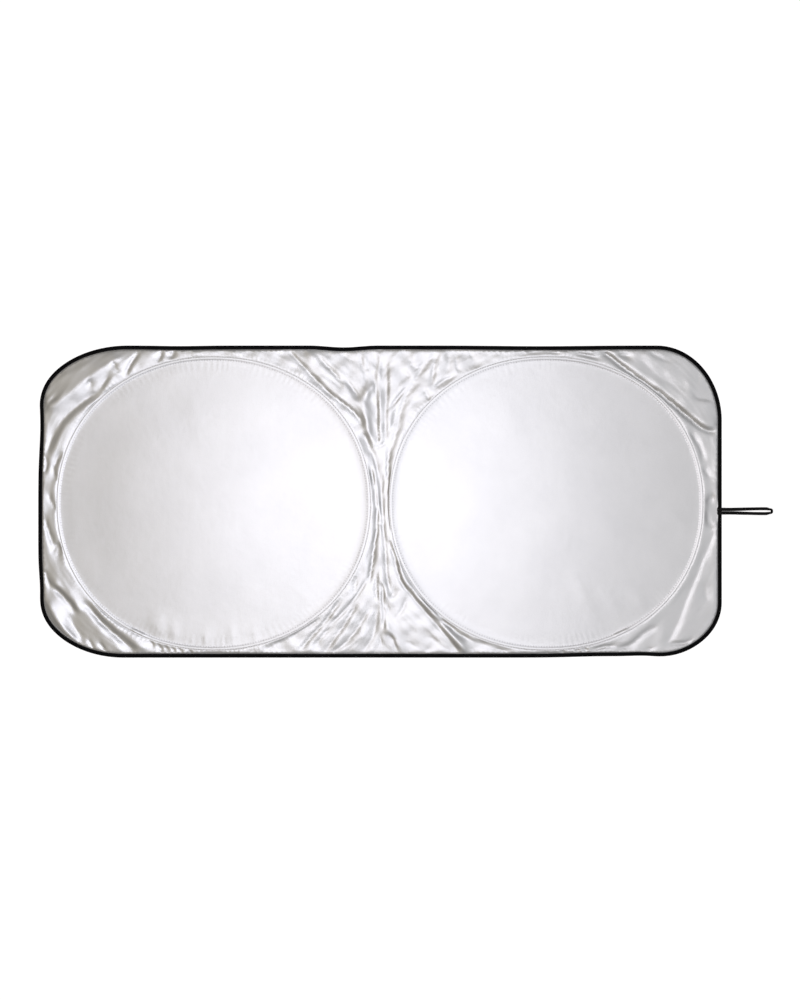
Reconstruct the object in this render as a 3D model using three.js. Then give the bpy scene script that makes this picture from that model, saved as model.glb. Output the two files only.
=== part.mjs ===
// Pop-up windscreen sunshade, opened out and lying on a flat surface with its silver side up.
//
// Two sprung steel hoops lie side by side in casings under one silver-coated cloth. Inside each hoop
// the cloth is drawn flat. Between the hoops and the bound edge it is slack, and lies in folds. A black
// tape is folded round the whole edge, and an elastic loop is sewn to the right-hand end.
//
// Millimetres. +X runs along the shade towards the elastic loop, +Y across it and +Z up. The origin is
// the middle of the fold line, on the surface that the shade lies on.

import * as THREE from 'three';

// The shade's outline
const SHADE_LENGTH = 1500;
const SHADE_WIDTH = 685;
const LEFT_TOP_CORNER = { along: 197, across: 136 };
const RIGHT_TOP_CORNER = { along: 143, across: 165 };
const LEFT_BOTTOM_CORNER = { along: 187, across: 136 };
const RIGHT_BOTTOM_CORNER = { along: 149, across: 121 };
const TOP_SAG = { depth: 4, middle: -80, reach: 75 };

// The outer rows of stitches that hold the hoops: their distances from the edges and from each other
const SEAM_FROM_END = 41;
const SEAM_FROM_TOP = 25;
const SEAM_FROM_BOTTOM = 17;
const SEAM_GAP = 42;
const SEAM_SQUARENESS = 2.1;

// Wire, ferrule and casing
const WIRE_DIAMETER = 2.2;
const WIRE_FROM_SEAM = 3.8;
const WIRE_END_GAP = 1;
const FERRULE_LENGTH = 24;
const FERRULE_WALL = 0.4;
const FERRULE_ANGLE = 300;
const CASING_WIDTH = 12.5;
const CASING_HEM = 1.5;
const CASING_THICKNESS = 0.4;
const CASING_INNER_ROW = 9.5;
const CREST_WIDTH = 4.4;

// Cloth, edge tape and elastic
const CLOTH_THICKNESS = 0.6;
const TAPE_THICKNESS = 0.6;
const TAPE_WIDTH = 7.5;
const TAPE_FOLD = 0.6;
const CLOTH_IN_TAPE = 3.5;
const CLOTH_PAST_TAPE = 1;
const ELASTIC_WIDTH = 6.5;
const ELASTIC_THICKNESS = 1.2;
const LOOP_LENGTH = 112;
const LOOP_DROP = 21;
const LOOP_TAIL = 5;
const LOOP_ROOT_GAP = 1.9;
const LOOP_OPENING = 9;
const LOOP_TIP_WIDTH = 11;
const LOOP_TIP_TURN = 2.5;
const LOOP_DESCENT = 13;

// How the elastic lies, as shares of the loop's length
const ROLL_FROM = 0.25;
const ROLL_TO = 0.88;
const OPEN_FROM = 0.15;
const OPEN_TO = 0.8;
const CLOSE_FROM = 0.84;

// How the slack cloth lies: its lift over its seams and the distances that it needs to come free of them
const CLEARANCE = 0.3;
const SLACK_LIFT = 2.4;
const FREE_OF_CASING = 16;
const FREE_OF_TAPE = 14;
const FREE_OF_LOOP_ROOT = { from: 18, to: 45 };
const FOLD_FADE = 0.2;
const FOLD_LINE_LAND = 4;
const FOLD_LINE_LAND_LENGTH = 60;
const FOLD_LINE_CREASE = 2;

// Fineness of the facets
const RAYS_TO_FOLD_LINE = 32;
const RAYS_TO_EDGE = 64;
const SLACK_STEP = 9;
const DISC_RINGS = [{ share: 0.93, every: 2 }, { share: 0.66, every: 4 }, { share: 0.33, every: 8 }];
const LEVEL = 1e-6;
const HALVINGS = 48;
const SMALL_TURN = 1e-4;
const HOOP_STEPS = 64;
const WIRE_SIDES = 6;
const CORNER_STEPS = 9;
const SIDE_STEP = 90;
const FOLD_STEPS = 20;
const LOOP_STEPS = 11;
const DESCENT_STEPS = 4;

// Heights of the layers, from the floor up
const CASING_TOP = CASING_THICKNESS;
const CLOTH_ON_CASING = CASING_TOP + CLEARANCE;
const WIRE_RADIUS = WIRE_DIAMETER / 2;
const FERRULE_BORE = WIRE_RADIUS + CLEARANCE;
const FERRULE_RADIUS = FERRULE_BORE + FERRULE_WALL;
const WIRE_HEIGHT = CASING_TOP + CLEARANCE + FERRULE_RADIUS;
const CLOTH_OVER_WIRE = WIRE_HEIGHT + WIRE_RADIUS + CLEARANCE;
const CLOTH_OVER_FERRULE = WIRE_HEIGHT + FERRULE_RADIUS + CLEARANCE;
const CLOTH_AT_EDGE = TAPE_THICKNESS + CLEARANCE;
const TAPE_HEIGHT = 2 * (TAPE_THICKNESS + CLEARANCE) + CLOTH_THICKNESS;

// Places worked out from the sizes
const HALF_LENGTH = SHADE_LENGTH / 2;
const HALF_WIDTH = SHADE_WIDTH / 2;
const SEAM_ALONG = (HALF_LENGTH - SEAM_FROM_END - SEAM_GAP / 2) / 2;
const SEAM_ACROSS = (SHADE_WIDTH - SEAM_FROM_TOP - SEAM_FROM_BOTTOM) / 2;
const RING_X = SEAM_ALONG + SEAM_GAP / 2;
const RING_Y = (SEAM_FROM_BOTTOM - SEAM_FROM_TOP) / 2;
const TAPE_MOUTH = TAPE_WIDTH + CLOTH_PAST_TAPE;
const LEFT = -1;
const RIGHT = 1;

// The folds of the slack cloth. Each ridge runs through places given by an angle round its hoop, in
// degrees anticlockwise from +X, and a share of the way from the casing to the edge tape or fold line.
const FOLDS = [
  { side: LEFT, height: 11, spread: 17,
    ridge: [[158, 0.9], [148, 0.55], [141, 0.46], [134, 0.47], [122, 0.75]] },
  { side: LEFT, height: 6, spread: 11,
    ridge: [[160, 0.15], [145, 0.1], [134, 0.1], [125, 0.14], [114, 0.6]] },
  { side: LEFT, height: 5, spread: 10,
    ridge: [[127, 0.3], [122, 0.5], [119, 0.8]] },
  { side: LEFT, height: 4, spread: 9,
    ridge: [[184, 0.9], [188, 0.63], [195, 0.4]] },
  { side: LEFT, height: 9, spread: 17,
    ridge: [[206, 0.6], [216, 0.7], [225, 0.82], [230, 0.95]] },
  { side: LEFT, height: 7, spread: 12,
    ridge: [[208, 0.3], [216, 0.2], [225, 0.15], [235, 0.2], [246, 0.5]] },
  { side: LEFT, height: 8, spread: 13,
    ridge: [[66, 0.7], [56, 0.12], [44, 0.08], [32, 0.12]] },
  { side: LEFT, height: 11, spread: 16,
    ridge: [[60, 0.9], [50, 0.36], [40, 0.3], [31, 0.5]] },
  { side: LEFT, height: 7, spread: 13,
    ridge: [[51, 0.93], [44, 0.58], [37, 0.6]] },
  { side: LEFT, height: 8, spread: 12,
    ridge: [[37, 0.88], [33, 0.6], [27, 0.75], [18, 0.6]] },
  { side: RIGHT, height: 10, spread: 15,
    ridge: [[124, 0.6], [136, 0.25], [146, 0.25], [156, 0.25]] },
  { side: RIGHT, height: 8, spread: 13,
    ridge: [[132, 0.94], [138, 0.58], [144, 0.6], [150, 0.65]] },
  { side: LEFT, height: 9, spread: 15,
    ridge: [[304, 0.8], [316, 0.26], [325, 0.3], [337, 0.45]] },
  { side: LEFT, height: 8, spread: 14,
    ridge: [[311, 0.95], [319, 0.6], [331, 0.74]] },
  { side: RIGHT, height: 7, spread: 12,
    ridge: [[198, 0.1], [206, 0.1], [216, 0.06], [228, 0.08], [238, 0.4]] },
  { side: RIGHT, height: 12, spread: 16,
    ridge: [[201, 0.6], [208, 0.56], [217, 0.42], [226, 0.44], [234, 0.9]] },
  { side: RIGHT, height: 11, spread: 17,
    ridge: [[60, 0.85], [44, 0.44], [33, 0.53], [25, 0.9]] },
  { side: RIGHT, height: 6, spread: 12,
    ridge: [[68, 0.3], [52, 0.08], [38, 0.08], [25, 0.12]] },
  { side: RIGHT, height: 10, spread: 14,
    ridge: [[349, 0.9], [338, 0.43], [327, 0.36], [319, 0.5], [312, 0.8]] },
  { side: RIGHT, height: 6, spread: 12,
    ridge: [[296, 0.9], [304, 0.44], [311, 0.3]] },
];

function radians(degrees) {
  return THREE.MathUtils.degToRad(degrees);
}

// 0 at or below the start, 1 at or above the end, and smooth between.
function ramp(value, start, end) {
  return THREE.MathUtils.smoothstep(value, start, end);
}

// How far the top edge hangs in beside the fold line.
function topSag(x) {
  const away = Math.min(1, Math.abs(x - TOP_SAG.middle) / TOP_SAG.reach);
  return TOP_SAG.depth * (1 + Math.cos(Math.PI * away)) / 2;
}

function cornerAt(x, y) {
  if (x < 0) {
    return y > 0 ? LEFT_TOP_CORNER : LEFT_BOTTOM_CORNER;
  }
  return y > 0 ? RIGHT_TOP_CORNER : RIGHT_BOTTOM_CORNER;
}

// Whether a point lies inside the shade's outline drawn in by the inset.
function insideEdge(x, y, inset) {
  const corner = cornerAt(x, y);
  const along = corner.along - inset;
  const across = corner.across - inset;
  const sag = y > 0 ? topSag(x) : 0;
  const toSide = Math.abs(x) - (HALF_LENGTH - inset - along);
  const toEnd = Math.abs(y) + sag - (HALF_WIDTH - inset - across);
  if (toSide <= 0 || toEnd <= 0) {
    return toSide <= along && toEnd <= across;
  }
  return (toSide / along) ** 2 + (toEnd / across) ** 2 <= 1;
}

// Distance from a hoop's centre to its outer stitches.
function seamRadius(angle) {
  const along = Math.abs(Math.cos(angle)) / SEAM_ALONG;
  const across = Math.abs(Math.sin(angle)) / SEAM_ACROSS;
  return (along ** SEAM_SQUARENESS + across ** SEAM_SQUARENESS) ** (-1 / SEAM_SQUARENESS);
}

function ringCentre(side) {
  return new THREE.Vector2(side * RING_X, RING_Y);
}

// A point beside a hoop's outer stitches: outset is positive outwards, square to the line of stitches.
function besideSeam(side, angle, outset) {
  const direction = new THREE.Vector2(Math.cos(angle), Math.sin(angle));
  const point = ringCentre(side).addScaledVector(direction, seamRadius(angle));
  return point.addScaledVector(seamNormal(angle), outset);
}

function seamNormal(angle) {
  const [before, after] = [angle - SMALL_TURN, angle + SMALL_TURN].map((turned) => (
    new THREE.Vector2(Math.cos(turned), Math.sin(turned)).multiplyScalar(seamRadius(turned))));
  const tangent = after.sub(before);
  return new THREE.Vector2(tangent.y, -tangent.x).normalize();
}

// Distance from a hoop's centre, along a ray, to the drawn-in outline or to the fold line.
function reachAlongRay(side, angle, inset) {
  const centre = ringCentre(side);
  let near = 0;
  let far = SHADE_LENGTH;
  for (let i = 0; i < HALVINGS; i += 1) {
    const middle = (near + far) / 2;
    const x = centre.x + middle * Math.cos(angle);
    const y = centre.y + middle * Math.sin(angle);
    if (x * side > 0 && insideEdge(x, y, inset)) {
      near = middle;
    } else {
      far = middle;
    }
  }
  return near;
}

// A point on a ray at the given distance from the hoop's centre.
function onRay(side, angle, distance) {
  return ringCentre(side).add(new THREE.Vector2(Math.cos(angle), Math.sin(angle)).multiplyScalar(distance));
}

function placeOnSlack(side, degrees, share) {
  const angle = radians(degrees);
  const start = seamRadius(angle) + CASING_HEM;
  return onRay(side, angle, start + share * (reachAlongRay(side, angle, TAPE_MOUTH) - start));
}

// The folds' ridge lines, as rows of points with the share of the ridge's length at each.
function ridgeLine(fold) {
  const places = fold.ridge.map(([degrees, share]) => placeOnSlack(fold.side, degrees, share));
  const curve = new THREE.SplineCurve(places);
  return { height: fold.height, spread: fold.spread, line: curve.getPoints(FOLD_STEPS) };
}

const RIDGES = FOLDS.map(ridgeLine);

// How high one ridge lifts the cloth at a point. It fades out towards both of its ends.
function ridgeLift(ridge, point) {
  let nearest = Infinity;
  let along = 0;
  for (let i = 0; i < FOLD_STEPS; i += 1) {
    const start = ridge.line[i];
    const step = new THREE.Vector2().subVectors(ridge.line[i + 1], start);
    const offset = new THREE.Vector2().subVectors(point, start);
    const share = THREE.MathUtils.clamp(offset.dot(step) / step.lengthSq(), 0, 1);
    const distance = offset.addScaledVector(step, -share).length();
    if (distance < nearest) {
      nearest = distance;
      along = (i + share) / FOLD_STEPS;
    }
  }
  const across = Math.min(1, nearest / ridge.spread);
  const ends = ramp(along, 0, FOLD_FADE) * ramp(1 - along, 0, FOLD_FADE);
  return ridge.height * ends * (1 + Math.cos(Math.PI * across)) / 2;
}

// Height of the slack cloth's underside. It is drawn down at the casing, the edge tape and the sewn root of
// the elastic loop. The fold line is a pressed crease, and the middle of it lies flat on the floor.
function slackHeight(point, fromCasing, fromTape) {
  const inLand = Math.abs(point.x) < FOLD_LINE_LAND + CLEARANCE;
  if (inLand && Math.abs(point.y) < FOLD_LINE_LAND_LENGTH / 2) {
    return 0;
  }
  let lift = SLACK_LIFT + (point.x === 0 ? FOLD_LINE_CREASE : 0);
  for (const ridge of RIDGES) {
    lift += ridgeLift(ridge, point);
  }
  const fromLoop = Math.hypot(point.x - HALF_LENGTH, point.y + LOOP_DROP);
  const freeOfLoop = ramp(fromLoop, FREE_OF_LOOP_ROOT.from, FREE_OF_LOOP_ROOT.to);
  const free = ramp(fromCasing, 0, FREE_OF_CASING) * ramp(fromTape, 0, FREE_OF_TAPE) * freeOfLoop;
  const sewn = THREE.MathUtils.lerp(CLOTH_AT_EDGE, CLOTH_ON_CASING, fromTape / (fromTape + fromCasing));
  return sewn + lift * free;
}

// Height of the cloth's underside over the wire, with a little more room over the ferrule.
function crestHeight(side, angle) {
  const ferrule = besideSeam(side, ferruleAngle(side), -WIRE_FROM_SEAM);
  const away = besideSeam(side, angle, -WIRE_FROM_SEAM).distanceTo(ferrule);
  const past = ramp(away, FERRULE_LENGTH, 2 * FERRULE_LENGTH);
  return THREE.MathUtils.lerp(CLOTH_OVER_FERRULE, CLOTH_OVER_WIRE, past);
}

// The ferrules lie low down and away from the fold line, as mirror images.
function ferruleAngle(side) {
  return side === RIGHT ? radians(FERRULE_ANGLE) : radians(180 - FERRULE_ANGLE);
}

// How far the fold line runs from the origin towards the top or the bottom edge, less an inset.
function foldLineEnd(y, inset) {
  return y > 0 ? HALF_WIDTH - inset - topSag(0) : inset - HALF_WIDTH;
}

// The directions of the rays from a hoop's centre. The first and the last of those to the fold line meet
// it where the tape begins.
function rayAngles(side) {
  const toTop = Math.atan2(foldLineEnd(1, TAPE_MOUTH) - RING_Y, -side * RING_X);
  const toBottom = Math.atan2(foldLineEnd(-1, TAPE_MOUTH) - RING_Y, -side * RING_X);
  const start = side === RIGHT ? toTop : toBottom;
  const inner = THREE.MathUtils.euclideanModulo((side === RIGHT ? toBottom : toTop) - start, 2 * Math.PI);
  const angles = [];
  for (let i = 0; i < RAYS_TO_FOLD_LINE; i += 1) {
    angles.push(start + inner * i / RAYS_TO_FOLD_LINE);
  }
  for (let i = 0; i < RAYS_TO_EDGE; i += 1) {
    angles.push(start + inner + (2 * Math.PI - inner) * i / RAYS_TO_EDGE);
  }
  return angles;
}

// The slack cloth along one ray, from the casing to the edge tape or to the side of the crease. All rays
// have their points at the same distances from the casing, so that the rows of points run round the hoop.
function slackRow(side, angle, meetsFoldLine) {
  const start = seamRadius(angle);
  const toCrease = (RING_X - FOLD_LINE_LAND) / Math.abs(Math.cos(angle));
  const end = meetsFoldLine ? toCrease : reachAlongRay(side, angle, TAPE_MOUTH);
  const row = [];
  for (let away = SLACK_STEP; away < end - start - SLACK_STEP / 2; away += SLACK_STEP) {
    row.push(slackCorner(side, angle, away, meetsFoldLine, end));
  }
  row.push(slackCorner(side, angle, end - start, meetsFoldLine, end));
  return row;
}

function slackCorner(side, angle, away, meetsFoldLine, end) {
  const distance = seamRadius(angle) + away;
  const point = onRay(side, angle, distance);
  const fromTape = meetsFoldLine ? distanceToTape(point) : end - distance;
  return { point, place: away, height: slackHeight(point, away, fromTape) };
}

// Where a ray meets the fold line, in the crease.
function creaseCorner(side, angle) {
  const distance = RING_X / Math.abs(Math.cos(angle));
  const point = new THREE.Vector2(0, RING_Y + distance * Math.sin(angle));
  return { point, height: slackHeight(point, distance - seamRadius(angle), distanceToTape(point)) };
}

// Where a ray ends under the tape, or the fold line does.
function edgeCorner(side, angle, meetsFoldLine) {
  const foldLine = new THREE.Vector2(0, foldLineEnd(Math.sin(angle), CLOTH_IN_TAPE));
  const point = meetsFoldLine ? foldLine : onRay(side, angle, reachAlongRay(side, angle, CLOTH_IN_TAPE));
  return { point, height: CLOTH_AT_EDGE };
}

function distanceToTape(point) {
  const sag = point.y > 0 ? topSag(point.x) : 0;
  return Math.max(0, HALF_WIDTH - TAPE_MOUTH - sag - Math.abs(point.y));
}

// The four points where a ray crosses the casing, from the inner stitches to the outer ones.
function casingRay(side, angle) {
  const crest = crestHeight(side, angle);
  const stations = [
    { outset: -CASING_INNER_ROW, height: CLOTH_ON_CASING },
    { outset: -WIRE_FROM_SEAM - CREST_WIDTH / 2, height: crest },
    { outset: -WIRE_FROM_SEAM + CREST_WIDTH / 2, height: crest },
    { outset: 0, height: CLOTH_ON_CASING },
  ];
  return stations.map(({ outset, height }) => ({
    point: onRay(side, angle, seamRadius(angle) + outset), height,
  }));
}

// Gathers the corners of one skin of the cloth and its triangles.
class Sheet {
  constructor() {
    this.corners = [];
    this.triangles = [];
  }

  add(corner) {
    this.corners.push(corner);
    return this.corners.length - 1;
  }

  // Every triangle is turned to face up.
  triangle(a, b, c) {
    const [p, q, r] = [a, b, c].map((i) => this.corners[i].point);
    const turn = (q.x - p.x) * (r.y - p.y) - (q.y - p.y) * (r.x - p.x);
    this.triangles.push(turn > 0 ? [a, b, c] : [a, c, b]);
  }

  // Joins two rows of corners that run the same way. Places say how far along its row each corner is:
  // the nearer of the next two corners is taken first, or of two level ones the flatter way across.
  join(rowA, rowB, placesA = evenPlaces(rowA), placesB = evenPlaces(rowB)) {
    let a = 0;
    let b = 0;
    while (a < rowA.length - 1 || b < rowB.length - 1) {
      const ahead = b === rowB.length - 1 ? -1 : placesA[a + 1] - placesB[b + 1];
      const level = Math.abs(ahead) < LEVEL;
      if (a < rowA.length - 1 && (level ? this.flatterFromB(rowA, a, rowB, b) : ahead < 0)) {
        this.triangle(rowA[a], rowA[a + 1], rowB[b]);
        a += 1;
      } else {
        this.triangle(rowA[a], rowB[b + 1], rowB[b]);
        b += 1;
      }
    }
  }

  // Whether the way across from row B's corner changes height less than the way across from row A's.
  flatterFromB(rowA, a, rowB, b) {
    const height = (i) => this.corners[i].height;
    const fromB = Math.abs(height(rowB[b]) - height(rowA[a + 1]));
    const fromA = Math.abs(height(rowA[a]) - height(rowB[b + 1]));
    return fromB < fromA;
  }
}

function evenPlaces(row) {
  return row.map((_, i) => i / (row.length - 1));
}

// The flat cloth inside one hoop, from its inner stitches to its centre.
function addDisc(sheet, side, innerRow, angles) {
  let outer = [...innerRow, innerRow[0]];
  for (const { share, every } of DISC_RINGS) {
    const row = angles.filter((_, i) => i % every === 0).map((angle) => {
      const distance = share * (seamRadius(angle) - CASING_INNER_ROW);
      return sheet.add({ point: onRay(side, angle, distance), height: CLOTH_ON_CASING });
    });
    row.push(row[0]);
    sheet.join(outer, row);
    outer = row;
  }
  const centre = sheet.add({ point: ringCentre(side), height: CLOTH_ON_CASING });
  for (let i = 0; i < outer.length - 1; i += 1) {
    sheet.triangle(outer[i], outer[i + 1], centre);
  }
}

function addHalf(sheet, side) {
  const angles = rayAngles(side);
  const rays = angles.map((angle, i) => {
    const meetsFoldLine = i <= RAYS_TO_FOLD_LINE;
    const meetsTape = i === 0 || i >= RAYS_TO_FOLD_LINE;
    const casing = casingRay(side, angle).map((corner) => sheet.add(corner));
    const slackCorners = slackRow(side, angle, meetsFoldLine);
    const slack = [casing.at(-1), ...slackCorners.map((corner) => sheet.add(corner))];
    const places = [0, ...slackCorners.map(({ place }) => place)];
    const crease = meetsFoldLine ? sheet.add(creaseCorner(side, angle)) : null;
    const edge = meetsTape ? sheet.add(edgeCorner(side, angle, meetsFoldLine)) : null;
    return { casing, slack, places, crease, edge };
  });
  rays.forEach((ray, i) => {
    const next = rays[(i + 1) % rays.length];
    sheet.join(ray.casing, next.casing);
    sheet.join(ray.slack, next.slack, ray.places, next.places);
    if (i < RAYS_TO_FOLD_LINE) {
      sheet.join([ray.slack.at(-1), ray.crease], [next.slack.at(-1), next.crease]);
    } else {
      const [corners, nextCorners] = [ray, next].map(({ slack, crease, edge }) => (
        crease === null ? [slack.at(-1), edge] : [slack.at(-1), crease, edge]));
      sheet.join(corners, nextCorners);
    }
  });
  addDisc(sheet, side, rays.map(({ casing }) => casing[0]), angles);
}

// Merges corners at one place, so that the halves share the fold line.
function weld(sheet) {
  const seen = new Map();
  const corners = [];
  const renumber = sheet.corners.map((corner) => {
    const key = `${corner.point.x.toFixed(2)} ${corner.point.y.toFixed(2)}`;
    if (!seen.has(key)) {
      seen.set(key, corners.length);
      corners.push(corner);
    }
    return seen.get(key);
  });
  const triangles = sheet.triangles.map((triangle) => triangle.map((i) => renumber[i]));
  return { corners, triangles };
}

// Closes a sheet into a solid: an underside, a top one thickness above it, and a wall round its edge.
function thickened(sheet, thickness) {
  const { corners, triangles } = weld(sheet);
  const count = corners.length;
  const positions = [];
  for (const lift of [0, thickness]) {
    for (const { point, height } of corners) {
      positions.push(point.x, point.y, height + lift);
    }
  }
  const index = [];
  const open = new Map();
  for (const [a, b, c] of triangles) {
    index.push(a, c, b, a + count, b + count, c + count);
    for (const [from, to] of [[a, b], [b, c], [c, a]]) {
      if (!open.delete(`${to} ${from}`)) {
        open.set(`${from} ${to}`, [from, to]);
      }
    }
  }
  for (const [from, to] of open.values()) {
    index.push(from, to, to + count, from, to + count, from + count);
  }
  return geometryOf(positions, index);
}

function geometryOf(positions, index) {
  const geometry = new THREE.BufferGeometry();
  geometry.setAttribute('position', new THREE.Float32BufferAttribute(positions, 3));
  geometry.setIndex(index);
  geometry.computeVertexNormals();
  return geometry;
}

// A skin over rows of points that all have the same number of points. The rows close on the first one,
// or are capped at both ends.
function loft(rows, closed) {
  const sides = rows[0].length;
  const positions = rows.flat().flatMap((point) => [point.x, point.y, point.z]);
  const index = [];
  const last = closed ? rows.length : rows.length - 1;
  for (let i = 0; i < last; i += 1) {
    const row = i * sides;
    const next = ((i + 1) % rows.length) * sides;
    for (let j = 0; j < sides; j += 1) {
      const k = (j + 1) % sides;
      index.push(row + j, row + k, next + k, row + j, next + k, next + j);
    }
  }
  if (!closed) {
    const end = (rows.length - 1) * sides;
    for (let j = 1; j < sides - 1; j += 1) {
      index.push(0, j + 1, j, end, end + j, end + j + 1);
    }
  }
  return geometryOf(positions, index);
}

// A flat section, as [outwards, up] pairs, stood on a point of a level path.
function sectionAt(point, normal, section) {
  return section.map(([out, up]) => {
    const place = point.clone().addScaledVector(normal, out);
    return new THREE.Vector3(place.x, place.y, up);
  });
}

function circleSection(radius, height) {
  const section = [];
  for (let i = 0; i < WIRE_SIDES; i += 1) {
    const turn = 2 * Math.PI * i / WIRE_SIDES;
    section.push([radius * Math.sin(turn), height + radius * Math.cos(turn)]);
  }
  return section;
}

// The two straight ends of a wire meet inside the ferrule, a small gap apart.
function ringWire(side) {
  const start = ferruleAngle(side);
  const normal = seamNormal(start);
  const tangent = new THREE.Vector2(-normal.y, normal.x);
  const joint = besideSeam(side, start, -WIRE_FROM_SEAM);
  const section = circleSection(WIRE_RADIUS, WIRE_HEIGHT);
  const straight = FERRULE_LENGTH / 2 + WIRE_DIAMETER;
  const rows = [];
  for (const distance of [WIRE_END_GAP / 2, straight]) {
    rows.push(sectionAt(joint.clone().addScaledVector(tangent, distance), normal, section));
  }
  for (let i = 1; i < HOOP_STEPS; i += 1) {
    const angle = start + 2 * Math.PI * i / HOOP_STEPS;
    rows.push(sectionAt(besideSeam(side, angle, -WIRE_FROM_SEAM), seamNormal(angle), section));
  }
  for (const distance of [straight, WIRE_END_GAP / 2]) {
    rows.push(sectionAt(joint.clone().addScaledVector(tangent, -distance), normal, section));
  }
  return loft(rows, false);
}

// A short crimped tube, placed by the mesh itself.
function ferrule() {
  const half = FERRULE_LENGTH / 2;
  const profile = [
    [FERRULE_BORE, -half], [FERRULE_RADIUS, -half], [FERRULE_RADIUS, half], [FERRULE_BORE, half],
    [FERRULE_BORE, -half],
  ];
  return new THREE.LatheGeometry(profile.map(([r, y]) => new THREE.Vector2(r, y)), 2 * WIRE_SIDES);
}

function ringSleeve(side) {
  const inner = CASING_HEM - CASING_WIDTH;
  const section = [[inner, 0], [inner, CASING_TOP], [CASING_HEM, CASING_TOP], [CASING_HEM, 0]];
  const rows = [];
  for (let i = 0; i < HOOP_STEPS; i += 1) {
    const angle = 2 * Math.PI * i / HOOP_STEPS;
    rows.push(sectionAt(besideSeam(side, angle, 0), seamNormal(angle), section));
  }
  return loft(rows, true);
}

// The shade's outline, anticlockwise from the right-hand end: points with the outward direction at each.
function outline() {
  const path = [];
  const corners = [
    { x: 1, y: 1, size: RIGHT_TOP_CORNER, start: 0 },
    { x: -1, y: 1, size: LEFT_TOP_CORNER, start: 90 },
    { x: -1, y: -1, size: LEFT_BOTTOM_CORNER, start: 180 },
    { x: 1, y: -1, size: RIGHT_BOTTOM_CORNER, start: 270 },
  ];
  corners.forEach(({ x, y, size, start }, i) => {
    const centre = new THREE.Vector2(x * (HALF_LENGTH - size.along), y * (HALF_WIDTH - size.across));
    for (let step = 0; step <= CORNER_STEPS; step += 1) {
      const turn = radians(start + 90 * step / CORNER_STEPS);
      const point = new THREE.Vector2(size.along * Math.cos(turn), size.across * Math.sin(turn)).add(centre);
      const normal = new THREE.Vector2(Math.cos(turn) / size.along, Math.sin(turn) / size.across);
      path.push({ point, normal: normal.normalize() });
    }
    const next = corners[(i + 1) % corners.length];
    const from = path.at(-1);
    const to = new THREE.Vector2(
      i % 2 === 0 ? next.x * (HALF_LENGTH - next.size.along) : from.point.x,
      i % 2 === 0 ? from.point.y : next.y * (HALF_WIDTH - next.size.across),
    );
    const steps = Math.round(from.point.distanceTo(to) / SIDE_STEP);
    for (let step = 1; step < steps; step += 1) {
      path.push({ point: from.point.clone().lerp(to, step / steps), normal: from.normal.clone() });
    }
  });
  for (const { point } of path) {
    if (point.y > 0) {
      point.y -= topSag(point.x);
    }
  }
  return path;
}

// A tape folded lengthwise round the cloth's edge, open towards the cloth.
function edgeBinding() {
  const top = TAPE_HEIGHT;
  const web = TAPE_THICKNESS + TAPE_FOLD;
  const section = [
    [-TAPE_WIDTH, 0], [-TAPE_WIDTH, TAPE_THICKNESS], [-web, TAPE_THICKNESS],
    [-web, top - TAPE_THICKNESS], [-TAPE_WIDTH, top - TAPE_THICKNESS], [-TAPE_WIDTH, top],
    [-TAPE_FOLD, top], [0, top - TAPE_THICKNESS], [0, TAPE_THICKNESS], [-TAPE_FOLD, 0],
  ];
  return loft(outline().map(({ point, normal }) => sectionAt(point, normal, section)), true);
}

// How far a flat strap reaches sideways, or up with the roll's complement, once it has rolled.
function rolledReach(roll) {
  return ELASTIC_WIDTH * Math.cos(roll) + ELASTIC_THICKNESS * Math.sin(roll);
}

// The elastic's middle line as { out, across, up, roll }: it lies flat where it is sewn on the tape, comes
// down to the floor past the edge, opens, and has rolled onto its edge where it turns back at the tip.
function elasticStations() {
  const sewnUp = TAPE_HEIGHT + CLEARANCE + ELASTIC_THICKNESS / 2;
  const onEdge = { up: ELASTIC_WIDTH / 2, roll: radians(90) };
  const rootAcross = (LOOP_ROOT_GAP + ELASTIC_WIDTH) / 2;
  const tipAcross = (LOOP_TIP_WIDTH - ELASTIC_THICKNESS) / 2;
  const tipOut = LOOP_LENGTH - ELASTIC_THICKNESS / 2;
  const turnOut = tipOut - LOOP_TIP_TURN;
  const outs = [];
  for (let i = 1; i <= DESCENT_STEPS; i += 1) {
    outs.push(LOOP_DESCENT * i / DESCENT_STEPS);
  }
  for (let i = 1; i <= LOOP_STEPS; i += 1) {
    outs.push(LOOP_DESCENT + (turnOut - LOOP_DESCENT) * i / LOOP_STEPS);
  }
  const stations = [-TAPE_WIDTH - LOOP_TAIL, -TAPE_WIDTH, 0].map((out) => (
    { out, across: rootAcross, up: sewnUp, roll: 0 }));
  for (const out of outs) {
    const share = out / LOOP_LENGTH;
    const roll = radians(90) * ramp(share, ROLL_FROM, ROLL_TO);
    const opening = THREE.MathUtils.lerp(LOOP_ROOT_GAP, LOOP_OPENING, ramp(share, OPEN_FROM, OPEN_TO));
    const opened = (opening + rolledReach(roll)) / 2;
    const across = THREE.MathUtils.lerp(opened, tipAcross, ramp(share, CLOSE_FROM, turnOut / LOOP_LENGTH));
    const onFloor = rolledReach(radians(90) - roll) / 2;
    const up = THREE.MathUtils.lerp(sewnUp, onFloor, ramp(out, 0, LOOP_DESCENT));
    stations.push({ out, across, up, roll });
  }
  const aside = LOOP_TIP_TURN * (1 - Math.SQRT1_2);
  stations.push({ out: tipOut - aside, across: tipAcross - aside, ...onEdge });
  stations.push({ out: tipOut, across: tipAcross - LOOP_TIP_TURN, ...onEdge });
  return stations;
}

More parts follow.
